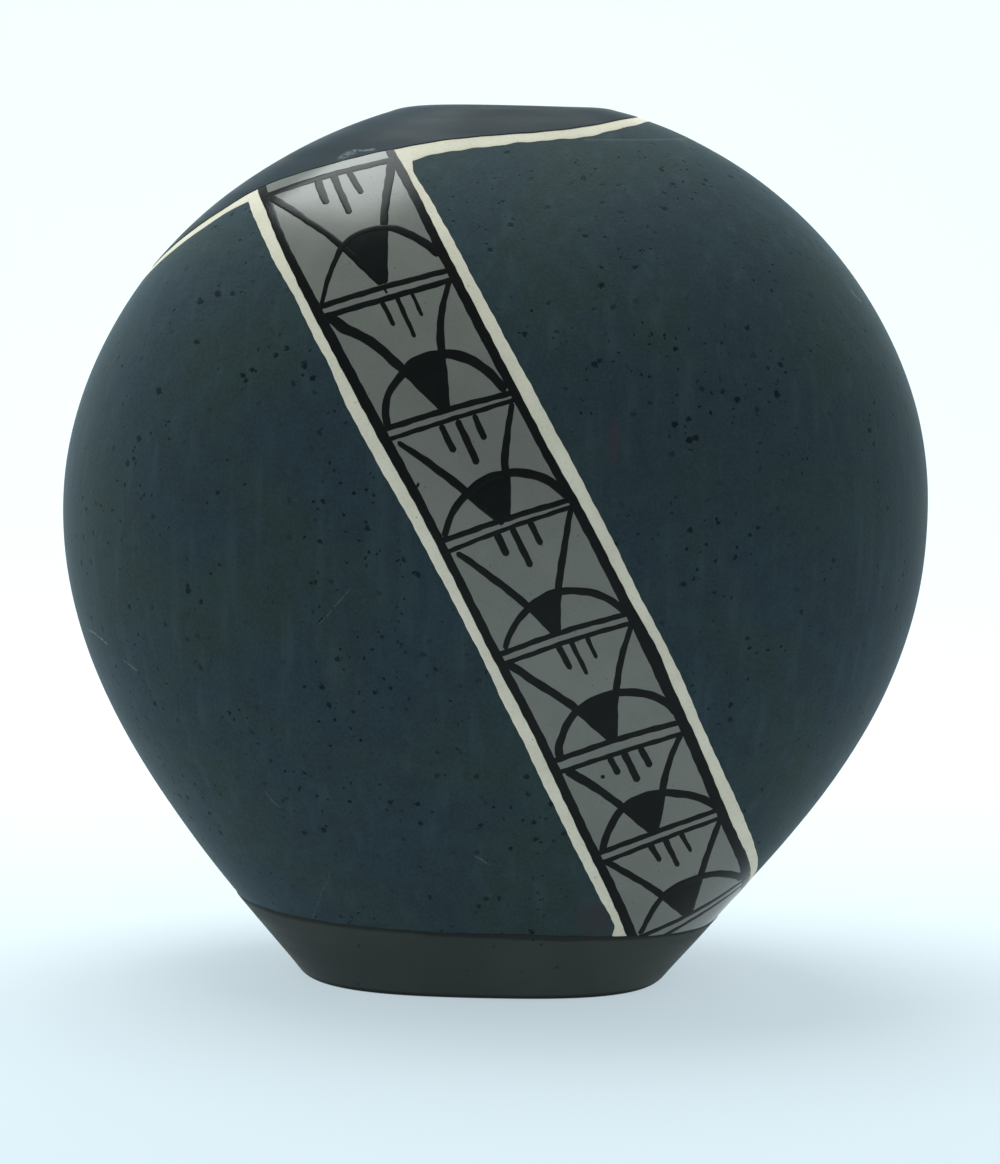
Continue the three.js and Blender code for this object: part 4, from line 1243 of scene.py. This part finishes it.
def burnished(name, dark, light, gloss, shine, pale_marks=()):
    """Polished slip: level streaks and hardly any grain. Low down, painted shade darkens a line under
    the foot's upper edge and the rim where the foot stands.
    """
    finish = Finish(name)
    strokes = finish.noise(2.6, detail=3, place=finish.stretched(0.12, 0.12, 1.0))
    clouds = finish.noise(24, detail=3)
    grain = finish.noise(0.7, detail=2)
    base = finish.mix(clouds.ramp(0.35, 0.68), dark, light)
    base = finish.mix(strokes.ramp(0.4, 0.8) * 0.3, base, light)
    base = finish.mix(finish.specks(5.5, 0.5) * 0.5, base, colour(12, 14, 16))
    height = finish.along("Z")
    # Painted shade: a dark line just under the foot coat's upper edge, where the coat steps onto the field.
    edge = height + finish.along("X") * FOOT_SHADE_LINE_FALL + (finish.noise(9, detail=2) - 0.5) * 0.8
    line = edge.ramp(FOOT_SHADE_LINE_HEIGHT - 1.3, FOOT_SHADE_LINE_HEIGHT - 0.5) * height.ramp(*ABOVE_FOOT)
    # Painted shade: the line above, and a near-black rim at the bottom where the foot meets the floor.
    base = finish.mix(line * 0.55 | height.ramp(1.3, 0.5), base, colour(8, 10, 10))
    in_front = finish.along("Y").ramp(0, -5)
    # Lightens the collar's colour along these short marks, in front only.
    for *place, strength in pale_marks:
        whitening = finish.scratch(*place) * in_front * grain.ramp(0.3, 0.6) * strength
        base = finish.mix(whitening, base, colour(170, 182, 182))
    finish.dress(Base_Color=base, Roughness=gloss + 0.12 * strokes.ramp(0.3, 0.8) + 0.06 * grain,
                 Specular_IOR_Level=shine)
    finish.bump(0.6 * strokes + 0.2 * grain, 0.06, 0.6)
    return finish.done()


def grey_slip():
    finish = Finish("grey_slip")
    clouds = finish.noise(12, detail=3)
    grain = finish.noise(0.5, detail=2)
    base = finish.mix(clouds.ramp(0.3, 0.7), colour(102, 103, 96), colour(110, 110, 103))
    base = finish.mix(grain.ramp(0.3, 0.8) * 0.3, base, colour(120, 120, 112))
    base = finish.mix(finish.specks(3.4, 0.3) * 0.4, base, colour(52, 56, 54))
    finish.dress(Base_Color=base, Roughness=0.19 + 0.07 * clouds, Specular_IOR_Level=0.5)
    finish.bump(0.4 * grain + 0.6 * clouds, 0.05, 0.5)
    return finish.done()


# Two short pale marks on the collar near the top of the band, from one place to another as seen from the
# front, with a half width and a strength.
PALE_COLLAR_MARKS = [(-33.5, 172.6, -29.8, 174.3, 0.9, 0.25), (-30.5, 174.2, -26.0, 174.6, 0.35, 0.35)]
collar_finish = burnished("burnished_collar", dark=colour(19, 34, 41), light=colour(30, 47, 54),
                          gloss=0.38, shine=0.1, pale_marks=PALE_COLLAR_MARKS)
foot_finish = burnished("burnished_foot", dark=colour(49, 54, 52), light=colour(57, 61, 58),
                        gloss=0.44, shine=0.12)
band_finish = grey_slip()

# %% [markdown]
# ## Cream slip and black paint
#
# The cream slip is chalky and dry, with a faint grain and a few dirty specks. The black is smoke-blackened
# slip paint. It pools where the brush was full, and has a low satin shine of its own, so that it goes grey
# where the lamp is mirrored at the top of the band. A plain black would look like a hole in the grey, so even
# the black is two shades in patches. Each finish is then given to its pieces.

# %% Cream and black
def cream_slip():
    finish = Finish("cream_slip")
    grain = finish.noise(0.6, detail=3)
    clouds = finish.noise(9, detail=3)
    base = finish.mix(clouds.ramp(0.3, 0.7), colour(214, 206, 186), colour(224, 216, 196))
    base = finish.mix(grain.ramp(0.45, 0.8) * 0.35, base, colour(190, 180, 158))
    base = finish.mix(finish.specks(4.0, 0.3) * 0.4, base, colour(110, 112, 96))
    finish.dress(Base_Color=base, Roughness=0.72 + 0.1 * grain, Specular_IOR_Level=0.2)
    finish.bump(grain, 0.08, 0.6)
    return finish.done()


def black_paint():
    finish = Finish("black_paint")
    pools = finish.noise(4.5, detail=3)
    grain = finish.noise(0.5, detail=2)
    base = finish.mix(pools.ramp(0.35, 0.75), colour(3, 5, 4), colour(9, 12, 10))
    finish.dress(Base_Color=base, Roughness=0.19 + 0.08 * grain, Specular_IOR_Level=0.16)
    finish.bump(0.5 * grain + 0.5 * pools, 0.05, 0.5)
    return finish.done()


def wear(made, material):
    """Gives a piece its finish."""
    made.data.materials.append(material)


for made in [clay_base, *clay_coils, clay_lip]:
    wear(made, clay_finish)
wear(collar, collar_finish)
wear(foot, foot_finish)
wear(band, band_finish)
wear(cream, cream_slip())
paint = black_paint()
for painted in linework:
    wear(painted, paint)

# %% [markdown]
# ## Floor, light and camera
#
# The photograph was taken in a white corner under soft light from above. A flat floor and a wall would meet
# in an edge behind the pot, so one sheet of paper curves up from the floor into the backdrop. Real paper is
# lit by the whole room, which three lamps can't do, so it glows a little by itself, less in front than
# behind. This also keeps the pot's shadow soft and pale. The paper and the lamps are placed in metres, and
# the glow in millimetres, as all finishes are.

# %% Paper floor
FLOOR_HALF = 2.2
FLOOR_FRONT, FLOOR_BACK = -1.6, 1.1
LEVEL_PLACES = (-0.4, 0.3)
SWEEP, BACKDROP_TOP = 0.5, 1.6
GLOW_FRONT, GLOW_BACK = -220, 300


def backdrop():
    turns = np.linspace(0, math.pi / 2, 17)
    profile = [(y, 0.0) for y in (FLOOR_FRONT, *LEVEL_PLACES)]
    profile += [(FLOOR_BACK - SWEEP + SWEEP * math.sin(t), SWEEP * (1 - math.cos(t))) for t in turns]
    profile += [(FLOOR_BACK, BACKDROP_TOP)]
    points = [(x, y, z) for y, z in profile for x in (-FLOOR_HALF, FLOOR_HALF)]
    faces = [(2 * i, 2 * i + 1, 2 * i + 3, 2 * i + 2) for i in range(len(profile) - 1)]
    mesh = bpy.data.meshes.new("backdrop")
    mesh.from_pydata(points, [], faces)
    mesh.shade_smooth()
    made = bpy.data.objects.new("backdrop", mesh)
    bpy.context.collection.objects.link(made)
    paper = Finish("paper")
    behind = paper.along("Y").ramp(GLOW_FRONT, GLOW_BACK)
    glow = paper.mix(behind, colour(160, 175, 184), colour(200, 212, 216))
    paper.dress(Base_Color=colour(160, 164, 166), Roughness=0.9, Specular_IOR_Level=0.1,
                Emission_Color=glow, Emission_Strength=1.0)
    made.data.materials.append(paper.done())
    made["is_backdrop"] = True


backdrop()

# %% [markdown]
# A spot lamp would throw a hard shadow and a small hard shine. Broad lamps act like the windows and the paper
# screens of a studio. One hangs overhead, where the band's top mirrors it, and two weaker ones fill the
# sides. A pale room light fills what they leave.

# %% Lamps
LAMP_AIM = Vector((0, 0, 0.1))


def softbox(name, place, size, power, tint):
    """A broad lamp at a place, turned to the pot, with its power in watts."""
    lamp = bpy.data.lights.new(name, "AREA")
    lamp.shape, lamp.size, lamp.size_y = "RECTANGLE", size[0], size[1]
    lamp.energy, lamp.color = power, tint
    made = bpy.data.objects.new(name, lamp)
    made.location = place
    made.rotation_euler = (LAMP_AIM - Vector(place)).to_track_quat("-Z", "Y").to_euler()
    bpy.context.collection.objects.link(made)
    print(name, "gives", power, "W")


softbox("lamp_above", place=(-0.14, 0.23, 1.15), size=(0.9, 0.6), power=11.0, tint=(0.93, 1.0, 1.0))
softbox("lamp_left", place=(-1.2, 0.1, 0.4), size=(1.0, 0.7), power=4.0, tint=(0.86, 0.98, 1.0))
softbox("lamp_right", place=(1.2, 0.15, 0.4), size=(1.0, 0.7), power=1.4, tint=(0.94, 1.0, 1.0))

# %% Room light
world = bpy.data.worlds.new("room")
world.use_nodes = True
room = world.node_tree.nodes["Background"].inputs
room["Color"].default_value = colour(236, 250, 252)
room["Strength"].default_value = 0.5
bpy.context.scene.world = world
bpy.context.scene.view_settings.view_transform = "Standard"
print("room light:", room["Strength"].default_value)

# %% [markdown]
# The camera stands where the photograph's did. It could be nudged by eye until the pot fits. Instead, lines
# that should be upright and level in the photograph gave its height, its tip of a few degrees down and its
# roll of about one degree, and the width of the pot gave the focal length in pixels, which the sensor size
# turns into millimetres.

# %% Camera
CAMERA_PLACE = (1.37, -620.0, 155.0)
CAMERA_DOWN = math.radians(6.53)
CAMERA_ROLL = math.radians(1.2)
PHOTO_LONG_SIDE = 1164
FOCAL_PIXELS = 2907.0
SENSOR = 36.0

lens = bpy.data.cameras.new("camera")
lens.sensor_width = SENSOR
lens.lens = FOCAL_PIXELS * SENSOR / PHOTO_LONG_SIDE
camera = bpy.data.objects.new("camera", lens)
level = Matrix.Rotation(math.pi / 2 - CAMERA_DOWN, 3, "X")
camera.location = [value * MM for value in CAMERA_PLACE]
camera.rotation_euler = (level @ Matrix.Rotation(CAMERA_ROLL, 3, "Z")).to_euler()
bpy.context.collection.objects.link(camera)
bpy.context.scene.camera = camera
print("lens, mm:", round(lens.lens, 1))

# %% [markdown]
# ## Size
#
# Blender must not change the pot's size, so the box of the dressed pot is written beside the box of the solid
# model, to be compared.

# %% Write the sizes and finish
low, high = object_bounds()
print("dressed pot, mm:", [round((h - l) / MM, 2) for l, h in zip(low, high)])
